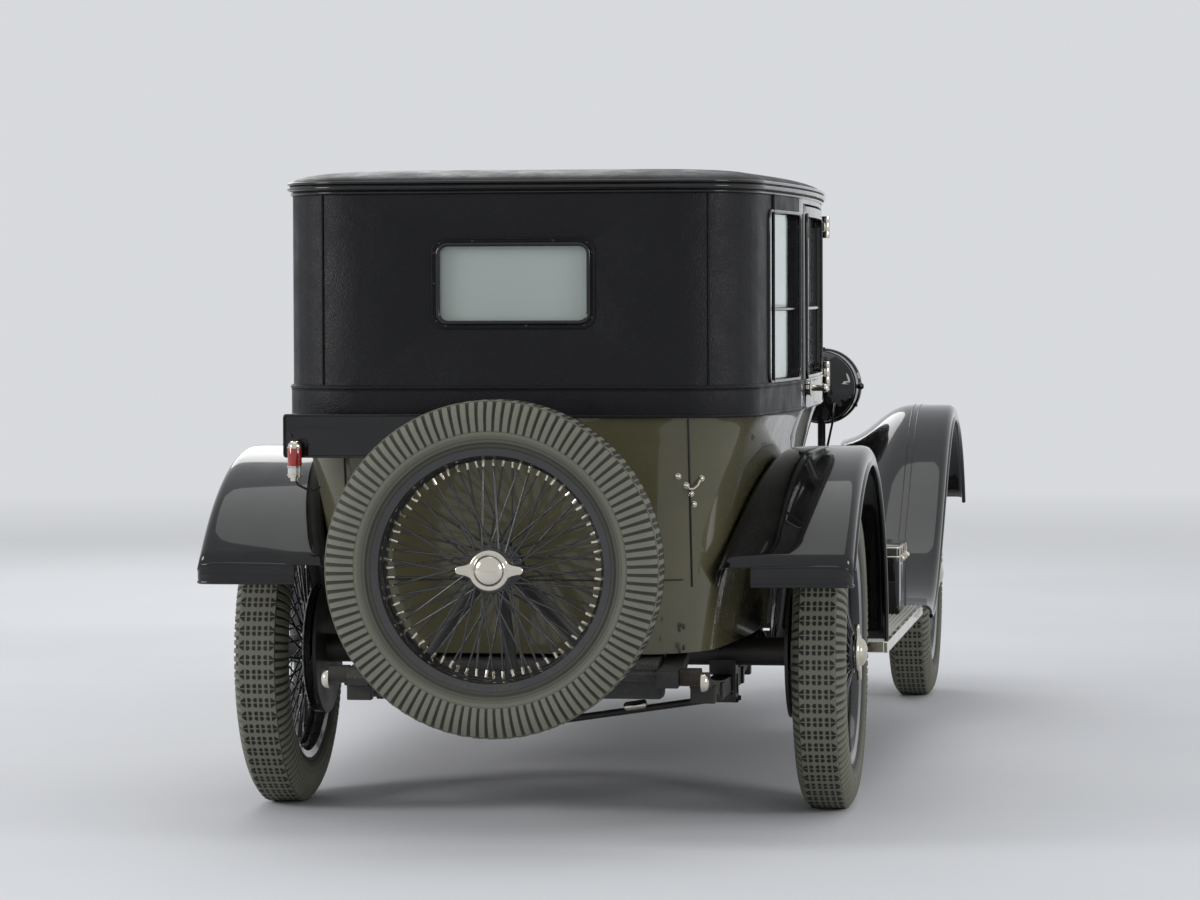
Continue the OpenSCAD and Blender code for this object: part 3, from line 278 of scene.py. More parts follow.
def copies_fast(ob, matrices):
    """Like copies, for many small parts: one mesh is filled in a single pass."""
    points = [v.co.copy() for v in ob.data.vertices]
    faces = [list(f.vertices) for f in ob.data.polygons]
    all_points, all_faces = [], []
    for m in matrices:
        base = len(all_points)
        all_points += [m @ p for p in points]
        all_faces += [[base + i for i in f] for f in faces]
    bpy.data.objects.remove(ob)
    return new_mesh("copies", all_points, (), all_faces)


def ring_of(ob, count, first=0.0, axis="Y"):
    """Copies ob all round an axis through the origin, the first at a share of a step."""
    return copies(ob, [turn_by(k + first, count, axis) for k in range(count)])


def turn_by(k, count, axis="Y"):
    return Matrix.Rotation(2 * math.pi * k / count, 4, axis)


def both_sides(ob):
    """Adds the mirror image on the other side of the centre plane."""
    return join([ob, moved_copy(ob, FLIP)])


def paint(ob, *finishes):
    ob.data.materials.clear()
    for f in finishes:
        ob.data.materials.append(MATS[f])
    return ob


def paint_where(ob, index, test):
    """Gives material slot index to the faces whose centre passes a test."""
    for f in ob.data.polygons:
        if test(f.center):
            f.material_index = index


def own(ob, name, body):
    """Names a finished piece, applies its transform and hangs it on a body of the frame."""
    settle(ob)
    ob.name = ob.data.name = name
    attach(ob, body)
    return ob


def fit(parts, finish, name, node, twice=False):
    """Joins parts into one piece of a finish, on a CAD node's body. twice adds the other side."""
    ob = join(parts) if isinstance(parts, list) else parts
    return own(paint(both_sides(ob) if twice else ob, finish), name, BODY[node])


def skin_of(node, name, finishes, levels=0, sharp=30, width=0.0):
    """A copy of a CAD node with merged vertices, creased edges and finer faces, which stands for it."""
    ob = linked(name, NODES[node].data.copy())
    merge = ("remove_doubles", {"threshold": MERGE})
    if levels:
        edited(ob, merge, ("tris_convert_to_quads", {"face_threshold": math.radians(14),
                                                     "shape_threshold": math.radians(70)}))
        bm = bmesh.new()
        bm.from_mesh(ob.data)
        crease = bm.edges.layers.float.new("crease_edge")
        for e in bm.edges:
            if len(e.link_faces) != 2 or e.calc_face_angle(math.pi) > math.radians(sharp):
                e[crease] = 1.0
        bm.to_mesh(ob.data)
        bm.free()
        subdivide(ob, levels)
    else:
        edited(ob, merge, ("dissolve_limited", {"angle_limit": math.radians(0.6)}))
    smooth(bevel(ob, width, 2, sharp + 10), sharp)
    own(ob, name, BODY[node])
    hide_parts(node)
    return paint(ob, *([finishes] if isinstance(finishes, str) else finishes))


# ---------- materials ----------

def group(name, inputs, outputs):
    """A node group whose inputs have defaults, with its input and output nodes."""
    tree = bpy.data.node_groups.new(name, "ShaderNodeTree")
    tree.interface.new_socket("Vector", in_out="INPUT", socket_type="NodeSocketVector")
    for label, value in inputs.items():
        tree.interface.new_socket(label, in_out="INPUT", socket_type="NodeSocketFloat").default_value = value
    for label in outputs:
        kind = "NodeSocketVector" if label == "Normal" else "NodeSocketFloat"
        tree.interface.new_socket(label, in_out="OUTPUT", socket_type=kind)
    return tree, tree.nodes.new("NodeGroupInput"), tree.nodes.new("NodeGroupOutput")


def node(tree, kind, links=None, **values):
    """Adds a node: values set its properties or, by name, its input sockets."""
    n = tree.nodes.new(kind)
    for key, value in values.items():
        if hasattr(n, key):
            setattr(n, key, value)
        else:
            n.inputs[key.replace("_", " ")].default_value = value
    for key, source in (links or {}).items():
        tree.links.new(source, n.inputs[key])
    return n


def noise(tree, where, scale, detail, **values):
    """A noise's value at a place. Its scale is a number or a socket."""
    if isinstance(scale, (int, float)):
        n = node(tree, "ShaderNodeTexNoise", {"Vector": where}, Scale=scale, Detail=detail, **values)
    else:
        n = node(tree, "ShaderNodeTexNoise", {"Vector": where, "Scale": scale}, Detail=detail, **values)
    return n.outputs["Fac"]


def ramp(tree, source, low, high):
    """Maps a value from low..high to 0..1, held at the ends."""
    return node(tree, "ShaderNodeMapRange", {"Value": source}, From_Min=low, From_Max=high).outputs["Result"]


def times(tree, a, b, operation="MULTIPLY"):
    n = node(tree, "ShaderNodeMath", operation=operation, use_clamp=True)
    for i, v in enumerate((a, b)):
        if isinstance(v, (int, float)):
            n.inputs[i].default_value = v
        else:
            tree.links.new(v, n.inputs[i])
    return n.outputs[0]


def blend_colour(tree, mask, a, b):
    """The colour a where a mask is 0, and b where it is 1."""
    n = node(tree, "ShaderNodeMix", {"Factor": mask}, data_type="RGBA")
    for key, v in ((6, a), (7, b)):
        if isinstance(v, (tuple, list)):
            n.inputs[key].default_value = (*v[:3], 1)
        else:
            tree.links.new(v, n.inputs[key])
    return n.outputs[2]


def dust_group():
    """Dust that lies on upward faces, in patches."""
    t, i, o = group("Settled dust", {"Amount": 0.4, "Scale": 9.0}, ["Mask"])
    where = i.outputs["Vector"]
    broad = noise(t, where, i.outputs["Scale"], 7.0, Roughness=0.65)
    fine = noise(t, where, 180.0, 3.0)
    face = node(t, "ShaderNodeNewGeometry")
    up = node(t, "ShaderNodeSeparateXYZ", {"Vector": face.outputs["Normal"]})
    lies = ramp(t, up.outputs["Z"], -0.2, 1.0)
    mask = times(t, ramp(t, broad, 0.38, 0.72), ramp(t, fine, 0.3, 0.65))
    mask = times(t, times(t, mask, times(t, lies, 0.35, "ADD")), i.outputs["Amount"])
    t.links.new(mask, o.inputs["Mask"])
    return t


def grain_group():
    """A fine unevenness."""
    t, i, o = group("Fine grain", {"Scale": 400.0, "Depth": 0.1}, ["Mask", "Normal"])
    height = noise(t, i.outputs["Vector"], i.outputs["Scale"], 4.0)
    bump = node(t, "ShaderNodeBump", {"Height": height, "Strength": i.outputs["Depth"]}, Distance=0.001)
    t.links.new(height, o.inputs["Mask"])
    t.links.new(bump.outputs["Normal"], o.inputs["Normal"])
    return t


def leather_group():
    """Pebbled leather over broad folds."""
    t, i, o = group("Leather grain", {"Scale": 320.0, "Depth": 0.4}, ["Mask", "Folds", "Normal"])
    where = i.outputs["Vector"]
    wobble = node(t, "ShaderNodeTexNoise", {"Vector": where}, Scale=40.0, Detail=2.0)
    shift = node(t, "ShaderNodeVectorMath", {0: wobble.outputs["Color"]}, operation="SCALE")
    shift.inputs["Scale"].default_value = 0.006
    moved = node(t, "ShaderNodeVectorMath", {0: where, 1: shift.outputs["Vector"]}, operation="ADD")
    cells = node(t, "ShaderNodeTexVoronoi", {"Vector": moved.outputs["Vector"], "Scale": i.outputs["Scale"]},
                 feature="SMOOTH_F1")
    # Pebble is high in the sunken borders between pebbles: it sets their depth, and surface() darkens the colour there
    # as painted shade.
    pebble = ramp(t, cells.outputs["Distance"], 0.15, 0.62)
    folds = noise(t, where, 5.5, 5.0, Distortion=0.6)
    low = node(t, "ShaderNodeBump", {"Height": folds}, Strength=0.32, Distance=0.02)
    high = node(t, "ShaderNodeBump", {"Height": pebble, "Strength": i.outputs["Depth"],
                                      "Normal": low.outputs["Normal"]}, Distance=0.0012, invert=True)
    t.links.new(pebble, o.inputs["Mask"])
    t.links.new(folds, o.inputs["Folds"])
    t.links.new(high.outputs["Normal"], o.inputs["Normal"])
    return t


def scratch_group():
    """Fine scratches in patches."""
    t, i, o = group("Scratches", {"Amount": 0.3}, ["Mask"])
    where = i.outputs["Vector"]
    stretch = node(t, "ShaderNodeMapping", {"Vector": where}, Scale=(6, 90, 25), Rotation=(0.3, 0.5, 0.2))
    lines = noise(t, stretch.outputs["Vector"], 5.0, 5.0, Roughness=0.7)
    patches = noise(t, where, 7.0, 3.0)
    mask = times(t, ramp(t, lines, 0.63, 0.68), ramp(t, patches, 0.5, 0.62))
    t.links.new(times(t, mask, i.outputs["Amount"]), o.inputs["Mask"])
    return t


GROUPS = {"dust": dust_group(), "grain": grain_group(), "leather": leather_group(), "scratch": scratch_group()}
MATS = {}


def surface(name, base, rough, metallic=0.0, dust=None, dust_colour=(0.2, 0.19, 0.16), vary=None, grain=None,
            leather=None, scratch=None, rough_spread=0.12, **sockets):
    """A Principled material built from the shared effects. vary is a second colour that a broad noise brings in."""
    mat = bpy.data.materials.new(name)
    mat.use_nodes = True
    t = mat.node_tree
    shader = t.nodes["Principled BSDF"]
    where = t.nodes.new("ShaderNodeTexCoord").outputs["Object"]
    colour = normal = None
    rough_mask = noise(t, where, 14.0, 6.0)

    def effect(kind, **values):
        return node(t, "ShaderNodeGroup", {"Vector": where}, node_tree=GROUPS[kind], **values)

    if vary:
        colour = blend_colour(t, ramp(t, noise(t, where, 3.2, 6.0, Roughness=0.6), 0.35, 0.68), base, vary)
    if leather:
        n = effect("leather", Scale=leather[0], Depth=leather[1])
        normal = n.outputs["Normal"]
        # Painted shade: the colour is darker in the sunken borders between the pebbles.
        colour = blend_colour(t, times(t, n.outputs["Mask"], 0.6), colour or base, [c * 0.45 for c in base])
    if grain:
        normal = effect("grain", Scale=grain[0], Depth=grain[1]).outputs["Normal"]
    if scratch:
        n = effect("scratch", Amount=scratch)
        colour = blend_colour(t, n.outputs["Mask"], colour or base, [min(1, c * 2.2 + 0.05) for c in base])
    if dust:
        n = effect("dust", Amount=dust)
        colour = blend_colour(t, n.outputs["Mask"], colour or base, dust_colour)
        rough_mask = times(t, rough_mask, times(t, n.outputs["Mask"], 0.8), "ADD")
    if colour:
        t.links.new(colour, shader.inputs["Base Color"])
    else:
        shader.inputs["Base Color"].default_value = (*base, 1)
    spread = node(t, "ShaderNodeMapRange", {"Value": rough_mask}, From_Min=0.3, From_Max=1.0,
                  To_Min=max(0.02, rough - rough_spread / 2), To_Max=min(1, rough + rough_spread * 2))
    t.links.new(spread.outputs["Result"], shader.inputs["Roughness"])
    shader.inputs["Metallic"].default_value = metallic
    if normal:
        t.links.new(normal, shader.inputs["Normal"])
    for key, value in sockets.items():
        shader.inputs[key.replace("_", " ")].default_value = value
    return mat


def attribute_mix(mat, name, colour, amount=1.0):
    """Brings a colour into a material where the mesh's own attribute says."""
    t = mat.node_tree
    shader = t.nodes["Principled BSDF"]
    mark = node(t, "ShaderNodeAttribute", attribute_name=name)
    mask = times(t, mark.outputs["Fac"], amount)
    link = shader.inputs["Base Color"].links
    base = link[0].from_socket if link else list(shader.inputs["Base Color"].default_value)
    t.links.new(blend_colour(t, mask, base, colour), shader.inputs["Base Color"])


def make_materials():
    olive = tuple(options().body_colour)
    black = tuple(options().leathercloth_colour)
    dust = options().dust
    MATS.update({
        "olive": surface("Olive body paint", olive, 0.2, dust=0.3 * dust, vary=[c * 0.82 for c in olive],
                         grain=(60.0, 0.035), Coat_Weight=0.8, Coat_Roughness=0.05, Specular_IOR_Level=0.15),
        "black": surface("Gloss black paint", (0.004, 0.004, 0.0045), 0.16, dust=0.25 * dust,
                         dust_colour=(0.1, 0.1, 0.09), grain=(55.0, 0.03), scratch=0.08, Coat_Weight=0.85,
                         Coat_Roughness=0.03, Specular_IOR_Level=0.05),
        "cloth": surface("Leathercloth", black, 0.4, dust=0.12 * dust, dust_colour=(0.04, 0.04, 0.04),
                         leather=(330.0, 0.5), vary=(0.008, 0.008, 0.01), Specular_IOR_Level=0.2),
        "chassis": surface("Satin black chassis paint", (0.016, 0.016, 0.016), 0.48, dust=0.75 * dust,
                           grain=(220.0, 0.25), scratch=0.25),
        "axle": surface("Greasy black axle paint", (0.014, 0.014, 0.013), 0.4, dust=0.85 * dust,
                        dust_colour=(0.13, 0.11, 0.08), grain=(160.0, 0.35), vary=(0.03, 0.026, 0.02)),
        "spring": surface("Oiled spring steel", (0.05, 0.047, 0.042), 0.42, metallic=0.7, dust=0.8 * dust,
                          grain=(300.0, 0.3), vary=(0.03, 0.022, 0.016)),
        "engine": surface("Engine paint", (0.1, 0.1, 0.094), 0.5, dust=0.6 * dust, grain=(260.0, 0.3),
                          vary=(0.06, 0.055, 0.045)),
        "exhaust": surface("Exhaust steel", (0.09, 0.07, 0.055), 0.6, metallic=0.5, dust=0.7 * dust,
                           grain=(240.0, 0.4), vary=(0.07, 0.035, 0.02)),
        "nickel": surface("Polished nickel", (0.74, 0.7, 0.62), 0.12, metallic=1.0, vary=(0.6, 0.55, 0.46),
                          grain=(90.0, 0.03), scratch=0.15),
        "enamel": surface("Wheel enamel", (0.01, 0.01, 0.011), 0.22, dust=0.35 * dust, grain=(140.0, 0.06),
                          Coat_Weight=0.7, Coat_Roughness=0.06),
        "spoke": surface("Enamelled spoke", (0.03, 0.03, 0.031), 0.2, metallic=0.35, grain=(260.0, 0.08),
                         scratch=0.3, Coat_Weight=0.6),
        "rubber": surface("Old tyre rubber", (0.012, 0.012, 0.0105), 0.6, grain=(420.0, 0.35),
                          vary=(0.026, 0.025, 0.02), dust=0.3 * dust, dust_colour=(0.12, 0.115, 0.09),
                          Specular_IOR_Level=0.3),
        "mat": surface("Ribbed board matting", (0.4, 0.41, 0.37), 0.5, dust=0.4 * dust, grain=(300.0, 0.3),
                       vary=(0.32, 0.32, 0.28)),
        "leather": surface("Brown seat leather", (0.085, 0.036, 0.018), 0.42, leather=(210.0, 0.35),
                           vary=(0.05, 0.02, 0.01), scratch=0.15, dust=0.2 * dust),
        "lining": surface("Headlining cloth", (0.21, 0.17, 0.12), 0.85, grain=(700.0, 0.5),
                          vary=(0.17, 0.135, 0.095), Sheen_Weight=0.2),
        "carpet": surface("Floor boards under carpet", (0.055, 0.035, 0.022), 0.9, grain=(500.0, 0.8),
                          vary=(0.035, 0.022, 0.014)),
        "red": surface("Red lamp glass", (0.32, 0.012, 0.008), 0.12, grain=(60.0, 0.02), Coat_Weight=0.8),
        "lens": surface("Lamp lens", (0.62, 0.64, 0.62), 0.1, metallic=0.55, grain=(40.0, 0.05),
                        Coat_Weight=1.0),
        "dial": surface("Instrument face", (0.5, 0.48, 0.42), 0.4, grain=(200.0, 0.05)),
        "brass": surface("Radiator core brass", (0.05, 0.042, 0.028), 0.5, metallic=0.6, grain=(200.0, 0.3),
                         dust=0.5 * dust),
        "seam": surface("Seam shadow", (0.006, 0.006, 0.005), 0.6, grain=(200.0, 0.1)),
        "wood": walnut(),
        "glass": pane("Window glass", (0.86, 0.92, 0.9), 0.02, 1.0),
        # Painted light: the rear sheet's pale colour stands for light coming through the car from behind it; the sheet
        # passes only part of the light.
        "pale": pane("Rear window sheet with painted backlight", (0.5, 0.56, 0.53), 0.3, 0.4)})
    # The tyres' dust colour goes where their mark says; the unmarked pit slabs stay dark as painted shade.
    attribute_mix(MATS["rubber"], "dusty", (0.2, 0.2, 0.155), 0.9)


def walnut():
    mat = surface("Varnished walnut", (0.12, 0.05, 0.02), 0.2, Coat_Weight=0.9, Coat_Roughness=0.05)
    t = mat.node_tree
    where = t.nodes.new("ShaderNodeTexCoord").outputs["Object"]
    long = node(t, "ShaderNodeMapping", {"Vector": where}, Scale=(30, 2.5, 14))
    rings = noise(t, long.outputs["Vector"], 3.0, 8.0, Distortion=1.4)
    colour = blend_colour(t, ramp(t, rings, 0.36, 0.64), (0.14, 0.06, 0.024), (0.045, 0.017, 0.008))
    t.links.new(colour, t.nodes["Principled BSDF"].inputs["Base Color"])
    return mat


def pane(name, tint, rough, clear):
    return surface(name, tint, rough, rough_spread=0.02, vary=[c * 0.97 for c in tint], IOR=1.45,
                   Transmission_Weight=clear)


# ---------- the body's own lines, in millimetres from the rear axle ----------

HALF_WIDTH = 620
WIDEST_X = 300
REAR_DRAW = 45
FRONT_DRAW = 36
CORNER_X = -490
CORNER_R = 200
CORNER_SHARE = 0.3
TUCK = 115
TUCK_TOP = 1010
TUCK_DEPTH = 570
TUCK_POWER = 0.6
DOOR_FRONT = 1000
TAIL_X = -690
BELT_LOW = 1012
BELT_HIGH = 1080
WELT_HIGHS = (1083, 1200, 1320, 1440, 1548)
WELT_X = -352
WINDOW_LOW = 1088
WINDOW_HIGH = 1506
WINDOW_R = 26
BELT_ROLLS = ((BELT_HIGH, 3.5, 0.0042), (BELT_LOW, 3.0, 0.0042))


def plan_w(x):
    """Half of the body's width above its belt, at a place along it."""
    if x < WIDEST_X:
        return HALF_WIDTH - REAR_DRAW * ((WIDEST_X - x) / (WIDEST_X - CORNER_X)) ** 2
    return HALF_WIDTH - FRONT_DRAW * ((x - WIDEST_X) / (DOOR_FRONT - WIDEST_X)) ** 2


def draw_in(z):
    """How far the lower body draws in at a height."""
    return 0 if z >= TUCK_TOP else TUCK * ((TUCK_TOP - z) / TUCK_DEPTH) ** TUCK_POWER


def corner(z):
    """The draw at a height, and the centre of the rear corner's arc."""
    draw = draw_in(z)
    return draw, CORNER_X + draw * CORNER_SHARE, plan_w(CORNER_X) - CORNER_R - draw


def outline(front, z, out=0, sides=14):
    """The body's plan at a height, from a front edge on the left round the tail to the right."""
    draw, cx, cy = corner(z)
    half = []
    for i in range(sides + 1):
        x = front + (cx - front) * i / sides
        half.append((x, plan_w(max(x, CORNER_X)) + out - draw))
    half += arc_points(cx, cy, CORNER_R + out, 90, 16)[1:]
    return [at(x, y, z) for x, y in half] + [at(x, -y, z) for x, y in reversed(half)]


def arc_points(cx, cy, r, start, steps):
    """A quarter circle's points, from a start in degrees."""
    angles = [math.radians(start + 90 * k / steps) for k in range(steps + 1)]
    return [(cx + r * math.cos(a), cy + r * math.sin(a)) for a in angles]


def depth_in(p):
    """How far a point lies inside the body's plan, in millimetres, from its place in metres."""
    x, y = (p.x - REAR) * 1000, abs(p.y) * 1000
    draw, cx, cy = corner(p.z * 1000)
    if x >= cx:
        return plan_w(x) - draw - y
    return CORNER_R - math.hypot(cx - x, max(0, y - cy))


def side_depth(p):
    """As depth_in, measured straight in from the side."""
    return plan_w((p.x - REAR) * 1000) - draw_in(p.z * 1000) - abs(p.y) * 1000


def tail_point(y, z, out=0):
    """A point on the tail or its corner at a distance from the centre plane."""
    _, cx, cy = corner(z)
    r = CORNER_R + out
    over = max(0, abs(y) - cy)
    return at(cx - math.sqrt(max(0, r * r - over * over)), y, z)


def round_loop(x0, x1, z0, z1, r):
    """A loop of (x, z) pairs round a rectangle with rounded corners."""
    loop = []
    for cx, cz, start in ((x1 - r, z1 - r, 0), (x0 + r, z1 - r, 90), (x0 + r, z0 + r, 180), (x1 - r, z0 + r, 270)):
        loop += arc_points(cx, cz, r, start, 5)
    dense = []
    for i, (x, z) in enumerate(loop):
        nx, nz = loop[(i + 1) % len(loop)]
        steps = max(1, int(math.hypot(nx - x, nz - z) / 60))
        dense += [(x + (nx - x) * k / steps, z + (nz - z) * k / steps) for k in range(steps)]
    return dense


def ring_at(cx, cy, z, half_x, half_y, r, radius):
    """A level bar round a rectangle with rounded corners."""
    return pipe([at(cx + dx, cy + dy, z) for dx, dy in round_loop(-half_x, half_x, -half_y, half_y, r)], radius,
                closed=True)


def side_line(s, xs, z, out=0):
    """Points along one side of the body above its belt, off its surface by out."""
    return [at(x, s * (plan_w(x) + out), z) for x in xs]


def window_ring(x0, x1, s=1):
    """A rolled surround of a side window."""
    loop = [at(x, s * (plan_w(x) + 0.8), z) for x, z in round_loop(x0, x1, WINDOW_LOW, WINDOW_HIGH, WINDOW_R)]
    return pipe(loop, 0.005, closed=True)


def loop_on_tail(half_y, z0, z1, r, out):
    return [at(TAIL_X - out, y, z) for y, z in round_loop(-half_y, half_y, z0, z1, r)]


# ---------- settings ----------

class CarOptions(bpy.types.PropertyGroup):
    body_colour: FloatVectorProperty(
        name="Body colour", description="Paint of the lower body and the bonnet",
        default=(0.088, 0.081, 0.043), size=3, min=0, max=1, subtype="COLOR")
    leathercloth_colour: FloatVectorProperty(
        name="Leathercloth colour", description="Covering of the upper body and the roof",
        default=(0.006, 0.006, 0.0075), size=3, min=0, max=1, subtype="COLOR")
    dust: FloatProperty(
        name="Dust", description="How much dust lies on the car", default=0.55, min=0, max=1, subtype="FACTOR")
    bead_radius: FloatProperty(
        name="Wing bead", description="Radius of the rolled bead along the wings' edges",
        default=0.0065, min=0.002, max=0.012, unit="LENGTH")
    spoke_radius: FloatProperty(
        name="Spoke radius", description="Radius of a wheel's wire spokes",
        default=0.0026, min=0.001, max=0.004, unit="LENGTH")
    shoulder_bars: IntProperty(
        name="Shoulder bars", description="Bars on each shoulder of a tyre", default=112, min=60, max=130)
    tread_blocks: IntProperty(
        name="Tread blocks", description="Stars in each row of a tyre's tread", default=68, min=30, max=72)
    louvres: IntProperty(
        name="Louvres", description="Louvres on each side of the bonnet", default=22, min=4, max=30)
    mat_ribs: IntProperty(
        name="Mat ribs", description="Ribs along each running board's matting", default=24, min=8, max=40)


def options():
    return bpy.context.scene.vintage_car


# ---------- wheels and tyres ----------

RIM_SEAT = 256
SPOKE_ROW = 18
SPOKE_STOCK = 0.2
WHEEL_TURNS = {"rear_left": 20, "rear_right": 65, "front_left": 130, "front_right": 35}


def spokes_and_nipples():
    """Four rows of wire spokes. A row starts at a radius and place on the hub, and leans to its place on the rim."""
    spokes, nipples = [], []
    for hub_r, hub_y, rim_y, lean, shift in ((50, 54, 5, 24, 0.5), (46, 50, 11, -20, 0.25), (56, -48, -7, 27, 0.0),
                                             (52, -43, -12, -24, 0.75)):
        for k in range(SPOKE_ROW):
            a = 2 * math.pi * (k + shift) / SPOKE_ROW
            b = a + math.radians(lean)
            start = Vector((hub_r * math.cos(b), hub_y, hub_r * math.sin(b))) * MM
            end = Vector((RIM_SEAT * math.cos(a), rim_y, RIM_SEAT * math.sin(a))) * MM
            way = (end - start).normalized()
            turn = way.to_track_quat("Z", "Y").to_matrix().to_4x4()
            length = Matrix.Diagonal((1, 1, (end - start).length / SPOKE_STOCK, 1))
            spokes.append(Matrix.Translation((start + end) / 2) @ turn @ length)
            nipples.append(Matrix.Translation(end - way * 0.008) @ turn)
    wire = drum((0, 0, 0), (0, 0, 1), options().spoke_radius, SPOKE_STOCK, 0, 8)
    wires = smooth(paint(copies(wire, spokes), "spoke"), 60)
    return [wires, paint(copies(drum((0, 0, 0), (0, 0, 1), 0.0042, 0.018, 0.0008, 8), nipples), "nickel")]


def wheel_mesh(with_drum):
    """One wire wheel at the origin, its outer face along +Y."""
    rim = turned_mm([
        (283.2, 56), (284, 53.6), (283, 51.2), (273, 50), (269.6, 47), (269, 28), (266, 24.5), (259.5, 18),
        (259, 0), (259.5, -18), (266, -24.5), (269, -28), (269.6, -47), (273, -50), (283, -51.2), (284, -53.6),
        (283.2, -56), (279, -55), (266, -51.5), (263, -46), (262.4, -26), (256, -19), (254, -13), (254, 13),
        (256, 19), (262.4, 26), (263, 46), (266, 51.5), (279, 55)], closed=True, steps=96)
    parts = [paint(rim, "enamel"), *spokes_and_nipples()]
    hub = turned_mm([
        (20.3, 58), (36, 60), (52, 59), (53, 57), (53, 49), (51, 48), (38, 44), (34, 38), (33, 0), (35, -30),
        (44, -38), (58, -41), (60, -43), (60, -51), (57, -53), (38, -56), (38, -61), (20.3, -61)], closed=True)
    parts.append(paint(hub, "enamel"))
    if with_drum:
        brake = turned_mm([
            (21, -62), (60, -61.8), (110, -62.3), (150, -63), (161, -66), (165, -70), (165, -73), (162.5, -74),
            (162.5, -76), (165, -77), (165, -80), (162.5, -81), (162.5, -83), (165, -84), (165, -86), (157, -86),
            (157, -74), (60, -72), (21, -72)], closed=True, steps=72)
        bolts = ring_of(drum((0.1, -0.0615, 0), (0, 1, 0), 0.006, 0.005, 0.0008, 6), 6)
        parts += [paint(brake, "enamel"), paint(bolts, "nickel")]
    nut = turned_mm([
        (0, 92.6), (10, 92.1), (20, 90), (28, 86.4), (34, 81), (36, 76.8), (37.6, 75.6), (39.6, 76.4), (44, 76),
        (47, 74), (48.5, 70.5), (48.5, 64), (46, 60.5), (34, 60)])
    half_ear = [(30, 24), (44, 18), (54, 13), (64, 11), (74, 9.5), (79, 6), (81, 0)]
    ear = half_ear + [(x, -z) for x, z in reversed(half_ear[:-1])]
    ears = ring_of(smooth(slab([Vector((x, 62, z)) * MM for x, z in ear], (0, 0.0135, 0), 0.0035), 50), 2)
    parts += [paint(nut, "nickel"), paint(ears, "nickel")]
    return join(parts)


SIDEWALL = [
    (270, 50), (284, 55.5), (287, 58.2), (290, 58.6), (292, 57.4), (295, 57.6), (297, 60.6), (300, 61.2),
    (302, 60.4), (305, 61.6), (307, 63.2), (309, 62.8), (314, 65.6), (318, 66.4), (320, 65.6), (323, 64.2),
    (334, 64.6), (346, 63.6), (358, 61), (368, 57.2), (377, 52), (384, 48.5), (391, 46.5), (394, 44),
    (394.6, 30)]
TREAD_R = 394.7
# A shoulder bar's line up the tyre: radius and place across, its outward direction, and its height
SHOULDER = [
    (321.5, 64.6, 0.0, 1.0, 0.2), (325, 64.2, 0.0, 1.0, 2.9), (340, 64.2, 0.1, 0.99, 3.2),
    (354, 62, 0.3, 0.95, 4.2), (365, 58.5, 0.5, 0.86, 4.8), (375, 53.4, 0.68, 0.73, 5.2),
    (383, 47.4, 0.82, 0.57, 5.6), (387.5, 41.5, 0.97, 0.25, 6.4)]
# Pit shade: the dark slabs round each tread star lie just proud of the tread and stand in for hollow pits as painted
# shade.
PIT_SHADE_PITCH = 29.5
PIT_SHADE_R = 394.3
PIT_SHADE_OUTER = [(2.6, 1.5), (15.5, 1.5), (13, 6), (8, 10.5), (2.6, 13.5)]
PIT_SHADE_INNER = [(2.6, 1.8), (9.5, 1.5), (12.5, 5.5), (11, 10.5), (7, 13), (2.6, 12)]


def shoulder_bar():
    """One bar of a tyre's left shoulder, a tapered ridge."""
    points = []
    for r, y, nr, ny, h in SHOULDER:
        low = (r * MM - MM * nr, y * MM - MM * ny)
        high = ((r + nr * h) * MM, (y + ny * h) * MM)
        half = 0.0072 * r / 390
        points += [(*low, -half - 0.0006), (*high, -half + 0.0012), (*high, half - 0.0012), (*low, half + 0.0006)]
    last = len(points) - 4
    faces = [(i + k, i + k + 1, i + k + 5, i + k + 4) for i in range(0, last, 4) for k in range(3)]
    faces += [(0, 3, 2, 1), (last, last + 1, last + 2, last + 3)]
    return new_mesh("bar", points, (), faces)


def mark_dust_and_pit_shade(ob, share):
    """Marks how much dust lies on a tyre by radius and by distance off its middle, in millimetres; a mark of 0 keeps
    the dark pit slabs, painted shade, free of dust.
    """
    mark = ob.data.attributes.new("dusty", "FLOAT", "POINT")
    for i, v in enumerate(ob.data.vertices):
        mark.data[i].value = share(math.hypot(v.co.x, v.co.z) / MM, abs(v.co.y) / MM)


def carcass_dust(r, w):
    if w < 45 and r > 390:
        return 0.95
    return 0.12 if r > 321 else 0.15 + 0.6 * min(1, max(0, (w - 58) / 7))


def tyre_mesh():
    """One tyre at the origin, its axle along Y: carcass, shoulder bars and tread stars, the stars set off by dark slabs
    painted as the shade in each pit.
    """
    carcass = turned_mm(SIDEWALL + [(TREAD_R, 0)] + [(r, -y) for r, y in reversed(SIDEWALL)], closed=True, steps=128)
    count = options().shoulder_bars
    bars = edited(copies(shoulder_bar(), [turn_by(k + s / 2, count) @ (FLIP if s else Matrix.Identity(4))
                                          for s in (0, 1) for k in range(count)]), OUTWARD)
    # Stars across the tread: each is the light cross left standing between four dark slabs just proud of the tread,
    # which are painted shade standing in for hollows
    pit_shade = []
    for column in (-1, 0, 1):
        for u in (-1, 1):
            for v in (-1, 1):
                pit_shade.append(slab([Vector((PIT_SHADE_R, PIT_SHADE_PITCH * column + u * y, v * z)) * MM
                                  for y, z in (PIT_SHADE_OUTER if u * column > 0 else PIT_SHADE_INNER)], (0.0006, 0, 0), 0))
    pit_shade = ring_of(join(pit_shade), options().tread_blocks)
    mark_dust_and_pit_shade(carcass, carcass_dust)
    mark_dust_and_pit_shade(bars, lambda r, w: 0.9 if w > 47 else 1.0)
    # The pit slabs get no dust, so they stay dark rubber as painted pit shade.
    mark_dust_and_pit_shade(pit_shade, lambda r, w: 0.0)
    return paint(join([carcass, bars, pit_shade]), "rubber")


